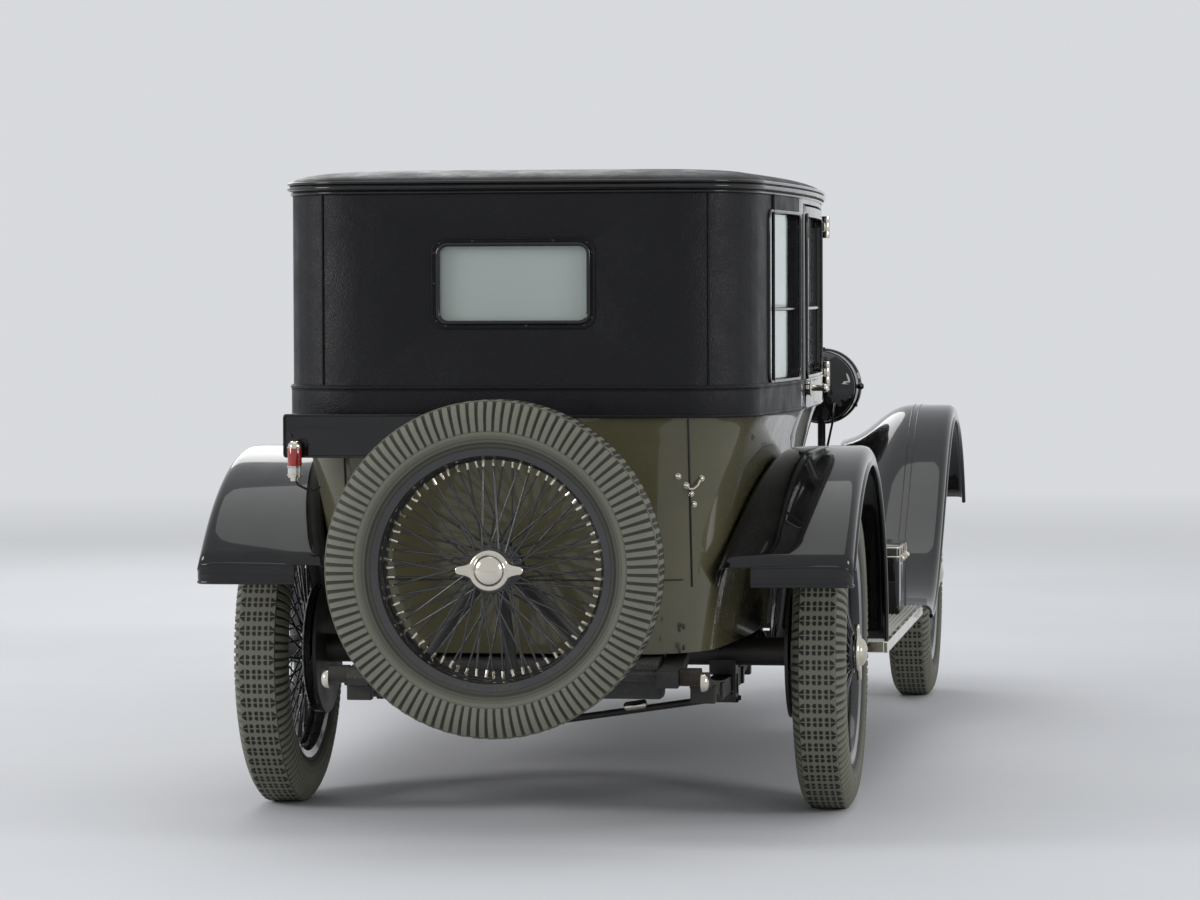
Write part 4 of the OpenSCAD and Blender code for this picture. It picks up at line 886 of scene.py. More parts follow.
def on_wheels(road, spare, name, node, turns):
    """Places a copy of one mesh at each wheel, turned on its axle, and another on the tail."""
    for end, x in (("rear", REAR), ("front", FRONT)):
        for side, s in (("left", 1), ("right", -1)):
            place = Matrix.Translation((x, s * TRACK_Y, AXLE_Z))
            turn = Matrix.Rotation(math.radians(turns.get(f"{end}_{side}", 0)), 4, "Y")
            ob = moved_copy(road, (place if s > 0 else place @ FLIP) @ turn)
            own(ob, f"{name}_{end}_{side}", BODY[f"{node}_{end}_{side}"])
            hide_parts(f"{node}_{end}_{side}")
    spare.data.transform(Matrix.Translation(SPARE) @ Matrix.Rotation(math.pi / 2, 4, "Z"))
    own(spare, name + "_spare", BODY["spare_" + node])
    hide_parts("spare_" + node)


class CAR_OT_wheels(bpy.types.Operator):
    """Wire wheels with rims, spokes, nipples, hubs, drums and eared nuts"""
    bl_idname = "vintage_car.wheels"
    bl_label = "Wheels"

    def execute(self, context):
        road, spare = wheel_mesh(True), wheel_mesh(False)
        on_wheels(road, spare, "wire_wheel", "wheel", WHEEL_TURNS)
        bpy.data.objects.remove(road)
        return {"FINISHED"}


class CAR_OT_tyres(bpy.types.Operator):
    """Tyres with barred shoulders and a tread of stars"""
    bl_idname = "vintage_car.tyres"
    bl_label = "Tyres"

    def execute(self, context):
        one = tyre_mesh()
        on_wheels(one, one, "tread_tyre", "tyre", {})
        return {"FINISHED"}


# ---------- chassis ----------

CHASSIS_FINISH = {
    "frame": "chassis", "front_axle": "axle", "rear_axle": "axle", "leaf_springs": "spring", "dampers": "axle",
    "engine": "engine", "exhaust": "exhaust", "fuel_tank": "chassis", "knuckle_left": "axle", "knuckle_right": "axle",
    "track_rod": "axle", "steering_column": "chassis", "spare_carrier": "chassis", "floor": "carpet"}
RIVET_XS = (-700, -620, -350, -270, 330, 430, 550, 650, 850, 1000, 1105, 1300, 1450, 1600, 1720, 1900, 2150, 2400,
            2650, 2850)
RAIL_Y = 400
RAIL_DRAW = 20
RAIL_STRAIGHT = 1000
RAIL_TAPER = 700
UPSWEEP = (-330, 380)
SPRING_Y = 427
SPRING_HALF = 31
EYE_CAP = [(0, 0.016), (0.012, 0.015), (0.019, 0.0115), (0.0225, 0.006), (0.0235, 0.0), (0.0235, -0.004), (0, -0.004)]
TRUSS_WAY = (0, 0.44, 0.066)


def hex_bolts(places, axis, radius=0.007, height=0.006):
    """Six-sided bolt heads at places, standing along an axis."""
    head = drum((0, 0, 0), axis, radius, height, 0.0009, 6)
    return copies(head, [Matrix.Translation(p) for p in places])


def rivets():
    """Two rows of rivet places along the left rail."""
    places = []
    for x in RIVET_XS:
        out = RAIL_Y if x <= RAIL_STRAIGHT else RAIL_Y - RAIL_DRAW * min(1, (x - RAIL_STRAIGHT) / RAIL_TAPER)
        lift = 20 if UPSWEEP[0] < x < UPSWEEP[1] else 0
        places += [at(x, out + 1, z + lift) for z in (455, 505)]
    return places


def star_washer(x, z, r):
    """A damper's star washer, with four long points among short ones, and its nut."""
    arms = []
    for k in range(24):
        a = 2 * math.pi * k / 24
        reach = r if k % 4 == 0 else r * 0.45
        arms.append(at(x + reach * math.cos(a), 431, z + reach * math.sin(a)))
    return [slab(arms, (0, 0.006, 0)), drum(at(x, 438, z), (0, 1, 0), 0.012, 0.014, 0.001, 6)]


class CAR_OT_chassis(bpy.types.Operator):
    """Finishes of the chassis with its rivets, spring clips, eye caps and drive bolts"""
    bl_idname = "vintage_car.chassis"
    bl_label = "Chassis"

    def execute(self, context):
        for name, kind in CHASSIS_FINISH.items():
            paint(NODES[name], kind)
        heads = copies(ball((0, 0, 0), 0.007, (1, 0.55, 1)), [Matrix.Translation(p) for p in rivets()])
        fit(heads, "chassis", "frame_rivets", "frame", twice=True)
        clips = []
        for x, z in ((-445, 322), (355, 322), (-275, 314), (185, 314)):
            clips.append(block(at(x - 14, SPRING_Y - SPRING_HALF, z - 18), at(x + 14, SPRING_Y + SPRING_HALF, z + 26),
                               0.003))
        clips.append(hex_bolts([at(x, SPRING_Y + 30, 273) for x in (-29, 29)], (0, 0, 1), 0.011, 0.012))
        fit(clips, "axle", "spring_clips", "leaf_springs", twice=True)
        caps = [turned(EYE_CAP, at(x, 456, 378)) for x in (-690, 600)]
        fit(caps, "nickel", "spring_eye_caps", "leaf_springs", twice=True)
        stars = star_washer(-230, 482, 40) + star_washer(2850, 500, 30)
        fit(stars, "nickel", "damper_stars", "dampers", twice=True)
        # Final drive: cover ring, filler plug and the bolts round its halves
        ring = [turned([(0.118, 0.004), (0.127, 0.004), (0.128, 0.002), (0.128, -0.004), (0.117, -0.004)],
                       Vector((REAR - 0.157, 0, AXLE_Z)), (-1, 0, 0), 48, True),
                hex_bolts([Vector((REAR - 0.162, 0, AXLE_Z + 0.02))], (-1, 0, 0), 0.014, 0.01)]
        bolts = []
        for side in (-1, 1):
            for k in range(14):
                a = 2 * math.pi * k / 14
                bolts.append(Vector((REAR + 0.152 * math.cos(a), side * 0.047, AXLE_Z + 0.152 * math.sin(a))))
        ring.append(hex_bolts(bolts, (0, 1, 0), 0.0075, 0.02))
        fit(ring, "axle", "drive_bolts", "rear_axle")
        rod = turned([(0.0, 0.03), (0.008, 0.03), (0.013, 0.024), (0.013, -0.024), (0.008, -0.03), (0, -0.03)],
                     Vector((REAR, 0.2, AXLE_Z - 0.142)), TRUSS_WAY)
        fit(rod, "nickel", "truss_turnbuckles", "rear_axle", twice=True)
        return {"FINISHED"}


# ---------- body ----------

SEAM_Y = 420
LATCH_STUDS = ((26, 868), (8, 846), (-2, 826), (-26, 862), (-8, 800))
LATCH_HOOK = ((6, 846, 5), (0, 838, 9), (-10, 838, 11), (-19, 846, 9), (-24, 858, 6))


def welt_up(x, y, radius):
    """Leathercloth welts that run up both sides of the upper body at a place."""
    return [pipe([at(x, s * y, z) for z in WELT_HIGHS], radius) for s in (1, -1)]


class CAR_OT_body(bpy.types.Operator):
    """Lower body, scuttle, upper body and screen, with mouldings, seams, welts and latches"""
    bl_idname = "vintage_car.body"
    bl_label = "Body"

    def execute(self, context):
        tub = skin_of("tail_tub", "lower_tail", ("olive", "lining"), levels=1, sharp=40)
        paint_where(tub, 1, lambda c: depth_in(c) > 20 and c.z > 0.5)
        scuttle = skin_of("scuttle", "scuttle_skin", ("olive", "nickel", "lining"), levels=1, sharp=38)
        hinge_x = at(1040, 0, 0).x
        paint_where(scuttle, 1, lambda c: abs(c.y) > 0.595 and c.x < hinge_x)
        back = skin_of("cabin_back", "upper_body", ("cloth", "black", "lining"), width=0.0015)
        pillar_x = at(60, 0, 0).x
        paint_where(back, 1, lambda c: c.x > pillar_x)
        paint_where(back, 2, lambda c: depth_in(c) > 28)
        screen = skin_of("windscreen_frame", "screen_frame", ("black", "nickel"), width=0.002)
        paint_where(screen, 1, lambda c: abs(c.y) > 0.594)
        # Belt band: rolled lips above and below it, round the tail and quarters
        band = [pipe(outline(133, z, out), r) for z, out, r in (*BELT_ROLLS, (1074, 5.2, 0.0014))]
        fit(band, "cloth", "belt_lips", "cabin_back")
        # Welts of the leathercloth: under the roof, on the quarters and round the rear window
        welts = [pipe(outline(WELT_X, 1548, 1.0), 0.0035), pipe(outline(WELT_X, 1083.5, 1.5), 0.0035)]
        welts += welt_up(WELT_X, plan_w(WELT_X) + 1.6, 0.0045)
        turn = math.radians(62)
        corner_y = plan_w(CORNER_X) - CORNER_R
        welts += welt_up(CORNER_X - CORNER_R * math.sin(turn) - 0.9, corner_y + CORNER_R * math.cos(turn) + 0.6, 0.0028)
        welts.append(pipe(loop_on_tail(196, 1223, 1437, 30, 0.5), 0.0022, closed=True))
        fit(welts, "cloth", "cloth_welts", "cabin_back")
        frame_ring = pipe(loop_on_tail(183, 1236, 1424, 24, 0.6), 0.0055, closed=True)
        fit(frame_ring, "black", "rear_window_frame", "cabin_back")
        tacks = [Matrix.Translation(p) for p in loop_on_tail(191, 1228, 1432, 28, 0.8)[::3]]
        fit(copies(ball((0, 0, 0), 0.0035, (0.5, 1, 1)), tacks), "black", "rear_window_tacks", "cabin_back")
        fit(window_ring(-404, 54), "black", "quarter_surrounds", "cabin_back", twice=True)
        # Seams of the tail panels, with the latch and studs of the luggage cover
        seams = [pipe([tail_point(y, z, 0.2) for z in range(600, 1006, 15)], 0.0022) for y in (-SEAM_Y, SEAM_Y)]
        seams.append(pipe([tail_point(y, 618, 0.2) for y in range(-400, 401, 20)], 0.0018))
        fit(seams, "seam", "tail_seams", "tail_tub")
        latch = []
        for dy, z in LATCH_STUDS:
            p = tail_point(dy - SEAM_Y, z, 2)
            latch.append(ball(p, 0.0056, (1.1, 1, 1)))
            latch.append(drum(p + Vector((0.003, 0, 0)), (1, 0, 0), 0.0078, 0.005, 0.001, 20))
        latch.append(pipe([tail_point(dy - SEAM_Y, z, out) for dy, z, out in LATCH_HOOK], 0.0028))
        fit(latch, "nickel", "cover_latch", "tail_tub")
        return {"FINISHED"}


class CAR_OT_roof(bpy.types.Operator):
    """Roof covering with its edge welt and double drip moulding"""
    bl_idname = "vintage_car.roof"
    bl_label = "Roof"

    def execute(self, context):
        roof = skin_of("roof", "roof_cover", ("cloth", "lining"), levels=1, sharp=50)
        paint_where(roof, 1, lambda c: c.z < DRIP + 0.004 and abs(c.y) < 0.58)
        drips = [pipe(outline(1045, DRIP * 1000 + rise, out, 20), r)
                 for rise, out, r in ((5, 9.5, 0.0052), (17, 10, 0.0038), (-7, 3, 0.003))]
        fit(drips, "black", "drip_mouldings", "roof")
        return {"FINISHED"}


DOOR_PULL = ((420, 2, 0), (425, 14, -3), (470, 18, -8), (520, 18, -8), (565, 14, -3), (570, 2, 0))
DOOR_BAND = ((BELT_LOW, 0.5), (1014, 4.5), (1046, 5.4), (1078, 4.5), (BELT_HIGH, 0.5))
ROSE = [(0.019, 0), (0.021, 0.001), (0.0225, 0.003), (0.021, 0.005), (0.017, 0.0065), (0.0095, 0.0075), (0.0095, 0.0)]
DOOR_BELT_XS = (146, 999)


class CAR_OT_doors(bpy.types.Operator):
    """Doors with window surrounds, belt bands, inner handles, pleats and handle roses"""
    bl_idname = "vintage_car.doors"
    bl_label = "Doors"

    def execute(self, context):
        for side, s in (("left", 1), ("right", -1)):
            name = "door_" + side
            door = skin_of(name, name + "_skin", ("olive", "black", "nickel", "lining"), width=0.0015)
            paint_where(door, 1, lambda c: c.z > 1.011)
            paint_where(door, 3, lambda c: side_depth(c) > 30 and 0.47 < c.z < 1.51)
            paint_where(door, 2, lambda c: side_depth(c) < -6)
            belt = [side_line(s, range(*DOOR_BELT_XS, 60), z, out) for z, out in DOOR_BAND]
            trim = [window_ring(198, 942, s), smooth(sheet_between(belt, 0.0016), 50)]
            trim += [pipe(side_line(s, range(*DOOR_BELT_XS, 30), z, out), r) for z, out, r in BELT_ROLLS]
            fit(trim, "black", name + "_mouldings", name)
            pull = [pipe([at(x, s * (plan_w(x) - 35 - d), 985 + dz) for x, d, dz in DOOR_PULL], 0.006),
                    drum(side_line(s, (210,), 1000, -40)[0], (0, 1, 0), 0.014, 0.012),
                    pipe([at(x, s * (plan_w(x) - d), z) for x, d, z in
                          ((210, 46, 1000), (250, 48, 996), (290, 47, 1000))], 0.005)]
            fit(pull, "nickel", name + "_inner_handle", name)
            pleats = [pipe([at(x, s * (plan_w(x) - draw_in(z) - 36), z) for z in range(600, 961, 40)], 0.0022)
                      for x in range(260, 900, 40)]
            fit(pleats, "lining", name + "_pleats", name)
            rose = turned(ROSE, side_line(s, (200,), 1060, 9.5)[0], (0, s, 0), 32, True)
            fit(rose, "nickel", name + "_handle_rose", name)
        return {"FINISHED"}


# ---------- bonnet and radiator ----------

BONNET_X = (1450, 2960)
BONNET_HALF = (372, 272)
LOUVRE_XS = (1660, 2820)
LOUVRE_ZS = (610, 614, 622, 742, 750, 754)
LOUVRE_SECTION = ((-12, -1), (-6, 4), (2, 8.5), (9, 9.5), (12, 8.2))
CATCH = ((1, 600), (14, 606), (17, 640), (13, 660), (1, 664))
HANDLE = ((-60, 1, 805), (-56, 22, 808), (0, 26, 810), (56, 22, 808), (60, 1, 805))


def bonnet_w(x):
    """Half of the bonnet's width at a place along it."""
    return BONNET_HALF[0] + (BONNET_HALF[1] - BONNET_HALF[0]) * (x - BONNET_X[0]) / (BONNET_X[1] - BONNET_X[0])


def louvre(x, s):
    """One louvre pressed out of a bonnet side, its ends fading into the panel."""
    y = bonnet_w(x)
    panel = s * (y - 1) / 1000
    rows = [[at(x + dx, s * (y + out), z) for z in LOUVRE_ZS] for dx, out in LOUVRE_SECTION]
    for row in rows:
        for j, keep in ((0, 0), (1, 0.7), (4, 0.7), (5, 0)):
            row[j].y = panel + (row[j].y - panel) * keep
    return smooth(sheet_between(rows, 0.0014), 50)


class CAR_OT_bonnet(bpy.types.Operator):
    """Bonnet panels with louvres, catches and handles"""
    bl_idname = "vintage_car.bonnet"
    bl_label = "Bonnet"

    def execute(self, context):
        count = options().louvres
        for side, s in (("left", 1), ("right", -1)):
            skin_of("bonnet_top_" + side, "bonnet_top_skin_" + side, "olive", levels=1, sharp=45)
            name = "bonnet_side_" + side
            panel = skin_of(name, "bonnet_side_skin_" + side, ("olive", "nickel"), sharp=25, width=0.0008)
            paint_where(panel, 1, lambda c: 0.8845 < c.z < 0.8955)
            first, last = LOUVRE_XS
            fins = [louvre(first + (last - first) * k / (count - 1), s) for k in range(count)]
            fit(fins, "olive", "bonnet_louvres_" + side, name)
            bits = []
            for x in (1560, 2890):
                y = bonnet_w(x)
                bits.append(pipe([at(x, s * (y + out), z) for out, z in CATCH], 0.0052))
                inner, outer = sorted((s * (y + 3.5), s * (y + 6.5)))
                bits.append(block(at(x - 16, inner, 590), at(x + 16, outer, 675), 0.001))
            x = 2240
            bits.append(pipe([at(x + dx, s * (bonnet_w(x) + out), z) for dx, out, z in HANDLE], 0.006))
            fit(bits, "nickel", "bonnet_catches_" + side, name)
        return {"FINISHED"}


CELL = 0.0125
CELL_EDGE = 0.008
ARCH = (800, 959, 3.4)
FILLER = 3.015
CAP = [(0, 0.019), (0.008, 0.0188), (0.015, 0.016), (0.023, 0.014), (0.029, 0.0115), (0.031, 0.007), (0.031, 0.001),
       (0.027, -0.001)]


def cell_mesh():
    """One hollow cell of the honeycomb, sunk in its front face."""
    cell = drum((0, 0, 0), (1, 0, 0), CELL * 0.56, 0.006, 0, 6)
    only(cell)
    bpy.ops.object.mode_set(mode="EDIT")
    bpy.ops.mesh.select_mode(type="FACE")
    bpy.ops.mesh.select_all(action="DESELECT")
    bpy.ops.object.mode_set(mode="OBJECT")
    for f in cell.data.polygons:
        f.select = f.normal.x > 0.9
    bpy.ops.object.mode_set(mode="EDIT")
    bpy.ops.mesh.inset(thickness=0.0012)
    bpy.ops.mesh.extrude_region_move(TRANSFORM_OT_translate={"value": (-0.0045, 0, 0)})
    bpy.ops.object.mode_set(mode="OBJECT")
    return cell


def cell_places(low, high):
    """The honeycomb's cells over the core's arched face."""
    start, top, power = ARCH
    places = []
    row, z = 0, low.z + CELL_EDGE
    while z < high.z:
        y = CELL_EDGE - high.y + (CELL / 2 if row % 2 else 0)
        rise = max(0, (z * 1000 - start) / (top - start))
        edge = high.y * max(0, 1 - rise ** power) ** (1 / power)
        while y < high.y:
            if abs(y) < edge - CELL_EDGE:
                places.append(Matrix.Translation((high.x + 0.001, y, z)))
            y += CELL
        z += CELL * 0.87
        row += 1
    return places


class CAR_OT_radiator(bpy.types.Operator):
    """Nickelled radiator shell with its honeycomb and cap"""
    bl_idname = "vintage_car.radiator"
    bl_label = "Radiator"

    def execute(self, context):
        skin_of("radiator_shell", "radiator_case", "nickel", width=0.003)
        skin_of("radiator_core", "radiator_block", "brass", width=0.001)
        comb = copies_fast(cell_mesh(), cell_places(*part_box("radiator_core")))
        fit(comb, "brass", "radiator_honeycomb", "radiator_core")
        cap = [turned(CAP, Vector((REAR + FILLER, 0, 1.027)), (0, 0, 1))]
        for k in range(12):
            a = 2 * math.pi * k / 12
            grip = Vector((REAR + FILLER + 0.0305 * math.cos(a), 0.0305 * math.sin(a), 1.031))
            cap.append(ball(grip, 0.004, (1, 1, 1.6)))
        fit(cap, "nickel", "radiator_cap", "radiator_shell")
        return {"FINISHED"}


# ---------- wings and boards ----------

FRONT_FADE = 0.36
REAR_WING_Y = 803
FRONT_WING_Y = 828
# The rear wing's tip: places across it and how far they lie under the crown
REAR_TIP = ((803, 46), (801, 22), (790, 7), (760, 1), (700, 1), (640, 2), (585, 4), (560, 8))
TIP_ANGLE = 157
TIP_LOW = 0.602
LIP = ((0, 0), (10, 1.5), (24, 2), (33, 1), (36, -2))


def rear_crown(b):
    """The rear wing's crown line, at an angle round the axle."""
    r = 525 + (20 * ((90 - b) / 90) ** 2 if b < 90 else 125 * ((b - 90) / 67) ** 2)
    return r * math.cos(math.radians(b)), 395 + r * math.sin(math.radians(b))


def front_crown(q):
    """The front wing's crown line from the front axle, from its tip at 0 to the running board at 1."""
    q = min(1, max(0, q))
    if q < FRONT_FADE:
        b = math.radians(66 * (1 - q / FRONT_FADE))
        return 545 / math.sin(math.radians(66)) * math.sin(b), 395 + 547 * math.cos(b)
    t = (q - FRONT_FADE) / (1 - FRONT_FADE)
    return -1170 * t, 372 + 570 * (0.5 + 0.5 * math.cos(math.pi * t)) ** 0.95


def crown_frame(crown, s, step):
    """A point of a crown line and its direction outwards."""
    x, z = crown(s)
    x0, z0 = crown(s - step)
    x1, z1 = crown(s + step)
    long = math.hypot(x1 - x0, z1 - z0)
    nx, nz = (z1 - z0) / long, -(x1 - x0) / long
    return x, z, nx, nz


def rear_wing_point(a, depth, y):
    x, z, nx, nz = crown_frame(rear_crown, a, 1)
    return at(x - nx * depth, y, z - nz * depth)


def front_wing_point(s, depth, y):
    x, z, nx, nz = crown_frame(front_crown, s, 0.01)
    if nz < 0:
        nx, nz = -nx, -nz
    return Vector((FRONT - REAR, 0, 0)) + at(x - nx * depth, y, z - nz * depth)


class CAR_OT_wings(bpy.types.Operator):
    """Wings with beaded edges, tip lips, pressed lines and stay bolts"""
    bl_idname = "vintage_car.wings"
    bl_label = "Wings"

    def execute(self, context):
        skin_of("rear_wings", "rear_wing_skins", "black", levels=1, sharp=48)
        skin_of("front_wings", "front_wing_skins", "black", levels=1, sharp=48)
        radius = options().bead_radius
        # Lip below the tip: a band turned down across the wing's end
        rows = []
        for down, back in LIP:
            rows.append([])
            for y, d in REAR_TIP:
                p = rear_wing_point(TIP_ANGLE, d, y)
                rows[-1].append(Vector((p.x - back / 1000, p.y, p.z + (TIP_LOW - p.z) * down / LIP[-1][0])))
        beads = [pipe([rear_wing_point(a, 46, REAR_WING_Y) for a in range(-1, TIP_ANGLE + 1, 3)], radius)]
        lip = smooth(sheet_between(rows, 0.003), 60)
        beads += [pipe(rows[-1], 0.0045), pipe(rows[0], 0.0035), lip]
        fit(beads, "black", "rear_wing_beads", "rear_wings", twice=True)
        edge = []
        for i in range(51):
            s = i / 50
            if s < FRONT_FADE:
                fade = 0.55 + 0.45 * s / FRONT_FADE
            else:
                fade = (0.5 + 0.5 * math.cos(math.pi * (s - FRONT_FADE) / (1 - FRONT_FADE))) ** 0.8
            edge.append(front_wing_point(s, 46 - 16 * (1 - fade), FRONT_WING_Y))
        lines = [pipe(edge, radius)]
        lines += [pipe([front_wing_point(s / 50, -0.5, y) for s in range(1, 48)], 0.0012) for y in (700, 720)]
        fit(lines, "black", "front_wing_beads", "front_wings", twice=True)
        bolts = hex_bolts([rear_wing_point(a, 0.5, 640) for a in (60, 105)], (0, 0, 1), 0.008, 0.006)
        fit(bolts, "black", "wing_bolts", "rear_wings", twice=True)
        return {"FINISHED"}


BOARD_X = (560, 1925)
MAT_Y = (508, 782)
BOX_X, BOX_Y = 1732, -645
BOX_CLASPS = (1640, 1820)


class CAR_OT_boards(bpy.types.Operator):
    """Running boards with ribbed matting and edge trim, aprons and the tool box"""
    bl_idname = "vintage_car.boards"
    bl_label = "Running boards"

    def execute(self, context):
        skin_of("running_boards", "board_planks", "wood", width=0.002)
        x0, x1 = BOARD_X
        count = options().mat_ribs
        ribs = []
        for k in range(count):
            y = MAT_Y[0] + (MAT_Y[1] - MAT_Y[0]) * k / (count - 1)
            ribs.append(pipe([at(x0 + 6, y, 372.8), at(x1 - 4, y, 372.8)], 0.0028, sides=2))
        ribs.append(block(at(x0 + 2, 503, 371), at(x1 - 2, 790, 373.2), 0))
        fit(ribs, "mat", "board_matting", "running_boards", twice=True)
        trims = [block(at(x0 - 1, 790, 346), at(x1, 803, 375.5), 0.003, 3),
                 block(at(x0 - 3, 500, 347), at(x0 + 3, 792, 375.2)),
                 hex_bolts([at(x, 796, 375.8) for x in range(620, 1900, 160)], (0, 0, 1), 0.005, 0.003)]
        fit(trims, "nickel", "board_edge_trim", "running_boards", twice=True)
        skin_of("splash_aprons", "apron_sheets", "black", width=0.001)
        skin_of("tool_box", "tool_box_case", "black", width=0.002)
        trim = [ring_at(BOX_X, BOX_Y, 566, 170, 115, 12, 0.004), ring_at(BOX_X, BOX_Y, 540, 171, 116, 12, 0.0028)]
        for x in BOX_CLASPS:
            trim += [block(at(x - 13, -764, 520), at(x + 13, -759, 562), 0.0015), ball(at(x, -764, 532), 0.008)]
        trim.append(drum(at(1730, -762, 535), (0, 1, 0), 0.013, 0.008))
        fit(trim, "nickel", "tool_box_trim", "tool_box")
        strap = [block(at(x - 12, -761, 380), at(x + 12, -758.5, 515), 0.001) for x in BOX_CLASPS]
        fit(strap, "black", "tool_box_straps", "tool_box")
        return {"FINISHED"}


# ---------- lamps and rear fittings ----------

LAMP = (2985, 400, 1000)
LENS_DOME = 0.112
TAIL_LAMP = (-728, 527)
LAMP_WIRE = ((0.0, 0, 0.862), (-0.002, -0.008, 0.848), (0.006, -0.026, 0.838), (0.03, -0.04, 0.834),
             (0.05, -0.05, 0.84))
BOARD = (103, 557, 915, 1015, 7)


def lens_rib(where, across):
    """An upright rib that follows the domed lens, at a place across it."""
    half = math.sqrt(max(0, 0.104 ** 2 - across ** 2))
    arc = []
    for q in range(-6, 7):
        up = half * q / 6
        dome = 0.0165 * math.sqrt(max(0, 1 - (across ** 2 + up ** 2) / LENS_DOME ** 2))
        arc.append(where + Vector((0.166 + dome, across, up)))
    return pipe(arc, 0.0016, sides=2)


class CAR_OT_lamps(bpy.types.Operator):
    """Head lamps with rims, lenses, clips and knobs, and the tail lamp"""
    bl_idname = "vintage_car.lamps"
    bl_label = "Lamps"

    def head_lamps(self):
        lamp = skin_of("head_lamps", "lamp_drums", ("black", "lens"), width=0.0015)
        where = at(*LAMP)
        lens_x = where.x + 0.1665
        paint_where(lamp, 1, lambda c: c.x > lens_x and math.hypot(c.y - math.copysign(where.y, c.y),
                                                                   c.z - where.z) < LENS_DOME)
        rim = turned([(0.108, 0.163), (0.114, 0.168), (0.119, 0.168), (0.1235, 0.163), (0.124, 0.155), (0.124, 0.137),
                      (0.1225, 0.131), (0.117, 0.1285), (0.112, 0.13), (0.108, 0.15)], where, (1, 0, 0), 64, True)
        paint(rim, "nickel", "black")
        back_x = where.x + 0.152
        paint_where(rim, 1, lambda c: c.x < back_x)
        own(both_sides(rim), "lamp_rims", BODY["head_lamps"])
        ribs = [lens_rib(where, k * 0.022) for k in range(-4, 5)]
        fit(ribs, "lens", "lamp_lens_ribs", "head_lamps", twice=True)
        knob = where + Vector((0.045, 0.128, 0.002))
        wire = ((-0.025, 0.05, -0.05), (-0.04, 0.045, -0.11), (0.03, 0.02, -0.2), (0.06, 0.012, -0.27))
        body = [pipe([where + Vector((0.045, 0.11, 0.0)), where + Vector((0.045, 0.124, 0.002))], 0.007),
                ball(knob, 0.0115),
                turned([(0, -0.062), (0.01, -0.061), (0.016, -0.056), (0.019, -0.046), (0.03, -0.036), (0.04, -0.032),
                        (0, -0.03)], where, (1, 0, 0)),
                pipe([where + Vector(p) for p in wire], 0.004),
                turned([(0.1155, 0.024), (0.118, 0.022), (0.118, 0.014), (0.1155, 0.012)], where, (1, 0, 0), 64, True)]
        half = Vector((0.015, 0.006, 0.006))
        for k in range(3):
            a = math.radians(90 + 120 * k)
            clip = where + Vector((0.135, 0.1215 * math.cos(a), 0.1215 * math.sin(a)))
            body.append(block(clip - half, clip + half))
        fit(body, "black", "lamp_fittings", "head_lamps", twice=True)

    def tail_lamp(self):
        """A red glass barrel and a clear one between nickel caps, with a knob and its wire."""
        skin_of("tail_lamp", "tail_lamp_case", "nickel", width=0.001)
        foot = at(*TAIL_LAMP, 0)

        def barrel(profile, closed=True, steps=32):
            return turned(profile, foot, (0, 0, 1), steps, closed)

        red = barrel([(0.0158, 0.893), (0.017, 0.895), (0.017, 0.934), (0.0158, 0.936)])
        fit(red, "red", "tail_lamp_glass", "tail_lamp")
        clear = barrel([(0.0158, 0.874), (0.0168, 0.875), (0.0168, 0.889), (0.0158, 0.89)])
        fit(clear, "lens", "tail_lamp_window", "tail_lamp")
        rings = [barrel([(0.0155, z - 0.002), (0.0185, z - 0.0015), (0.0185, z + 0.0015), (0.0155, z + 0.002)])
                 for z in (0.871, 0.8915, 0.938)]
        rings.append(barrel([(0, 0.955), (0.005, 0.9545), (0.01, 0.952), (0.0145, 0.948), (0.017, 0.944), (0, 0.942)],
                            False, 64))
        fit(rings, "nickel", "tail_lamp_rings", "tail_lamp")
        fit(pipe([foot + Vector(p) for p in LAMP_WIRE], 0.003), "seam", "tail_lamp_wire", "tail_lamp")

    def execute(self, context):
        self.head_lamps()
        self.tail_lamp()
        return {"FINISHED"}


class CAR_OT_fittings(bpy.types.Operator):
    """Number board with its blank face, rim and bracket bolts"""
    bl_idname = "vintage_car.fittings"
    bl_label = "Number board"

    def execute(self, context):
        skin_of("plate_board", "number_board", "black", width=0.0015)
        x = TAIL_X - 18.5
        rim = [pipe([at(x, y, z) for y, z in round_loop(*BOARD)], 0.0028, closed=True),
               hex_bolts([at(x - 0.5, y, 965) for y in (118, 542)], (1, 0, 0), 0.006, 0.004)]
        fit(rim, "black", "number_board_rim", "plate_board")
        return {"FINISHED"}


# ---------- cabin ----------

PAD_VOXEL = 0.011
PAD_LIMIT = 0.012
PAD_PRESSURE = 4
PAD_FRAMES = 20
PAD_INSET = 12
SEWN_DEPTH = 0.006
SEWN_WIDTH = 0.009
SEAT_LEAN = math.radians(8)
DIALS = ((-265, 952, 34), (-150, 952, 34), (-60, 955, 24), (10, 955, 24), (90, 952, 30), (170, 955, 18),
         (225, 955, 18))
WHEEL_HUB = (800, -265, 1020)
WHEEL_TILT = (980, 0, -500)
BOSS = [(0, 0.026), (0.012, 0.025), (0.022, 0.021), (0.026, 0.016), (0.0305, 0.014), (0.032, 0.009), (0.0302, 0.004)]


def swell(ob):
    """Puffs a closed shape up as a stuffed cushion, each point held near its start."""
    apply_modifier(ob, "REMESH", mode="VOXEL", voxel_size=PAD_VOXEL)
    start = [v.co.copy() for v in ob.data.vertices]
    only(ob)
    mod = ob.modifiers.new("Cloth", "CLOTH")
    mod.settings.use_pressure = True
    mod.settings.uniform_pressure_force = PAD_PRESSURE
    mod.settings.effector_weights.gravity = 0
    mod.settings.quality = 4
    for f in range(1, PAD_FRAMES + 1):
        bpy.context.scene.frame_set(f)
    bpy.ops.object.modifier_apply(modifier=mod.name)
    bpy.context.scene.frame_set(1)
    for v, p in zip(ob.data.vertices, start):
        move = v.co - p
        if move.length > PAD_LIMIT:
            v.co = p + move * (PAD_LIMIT / move.length)


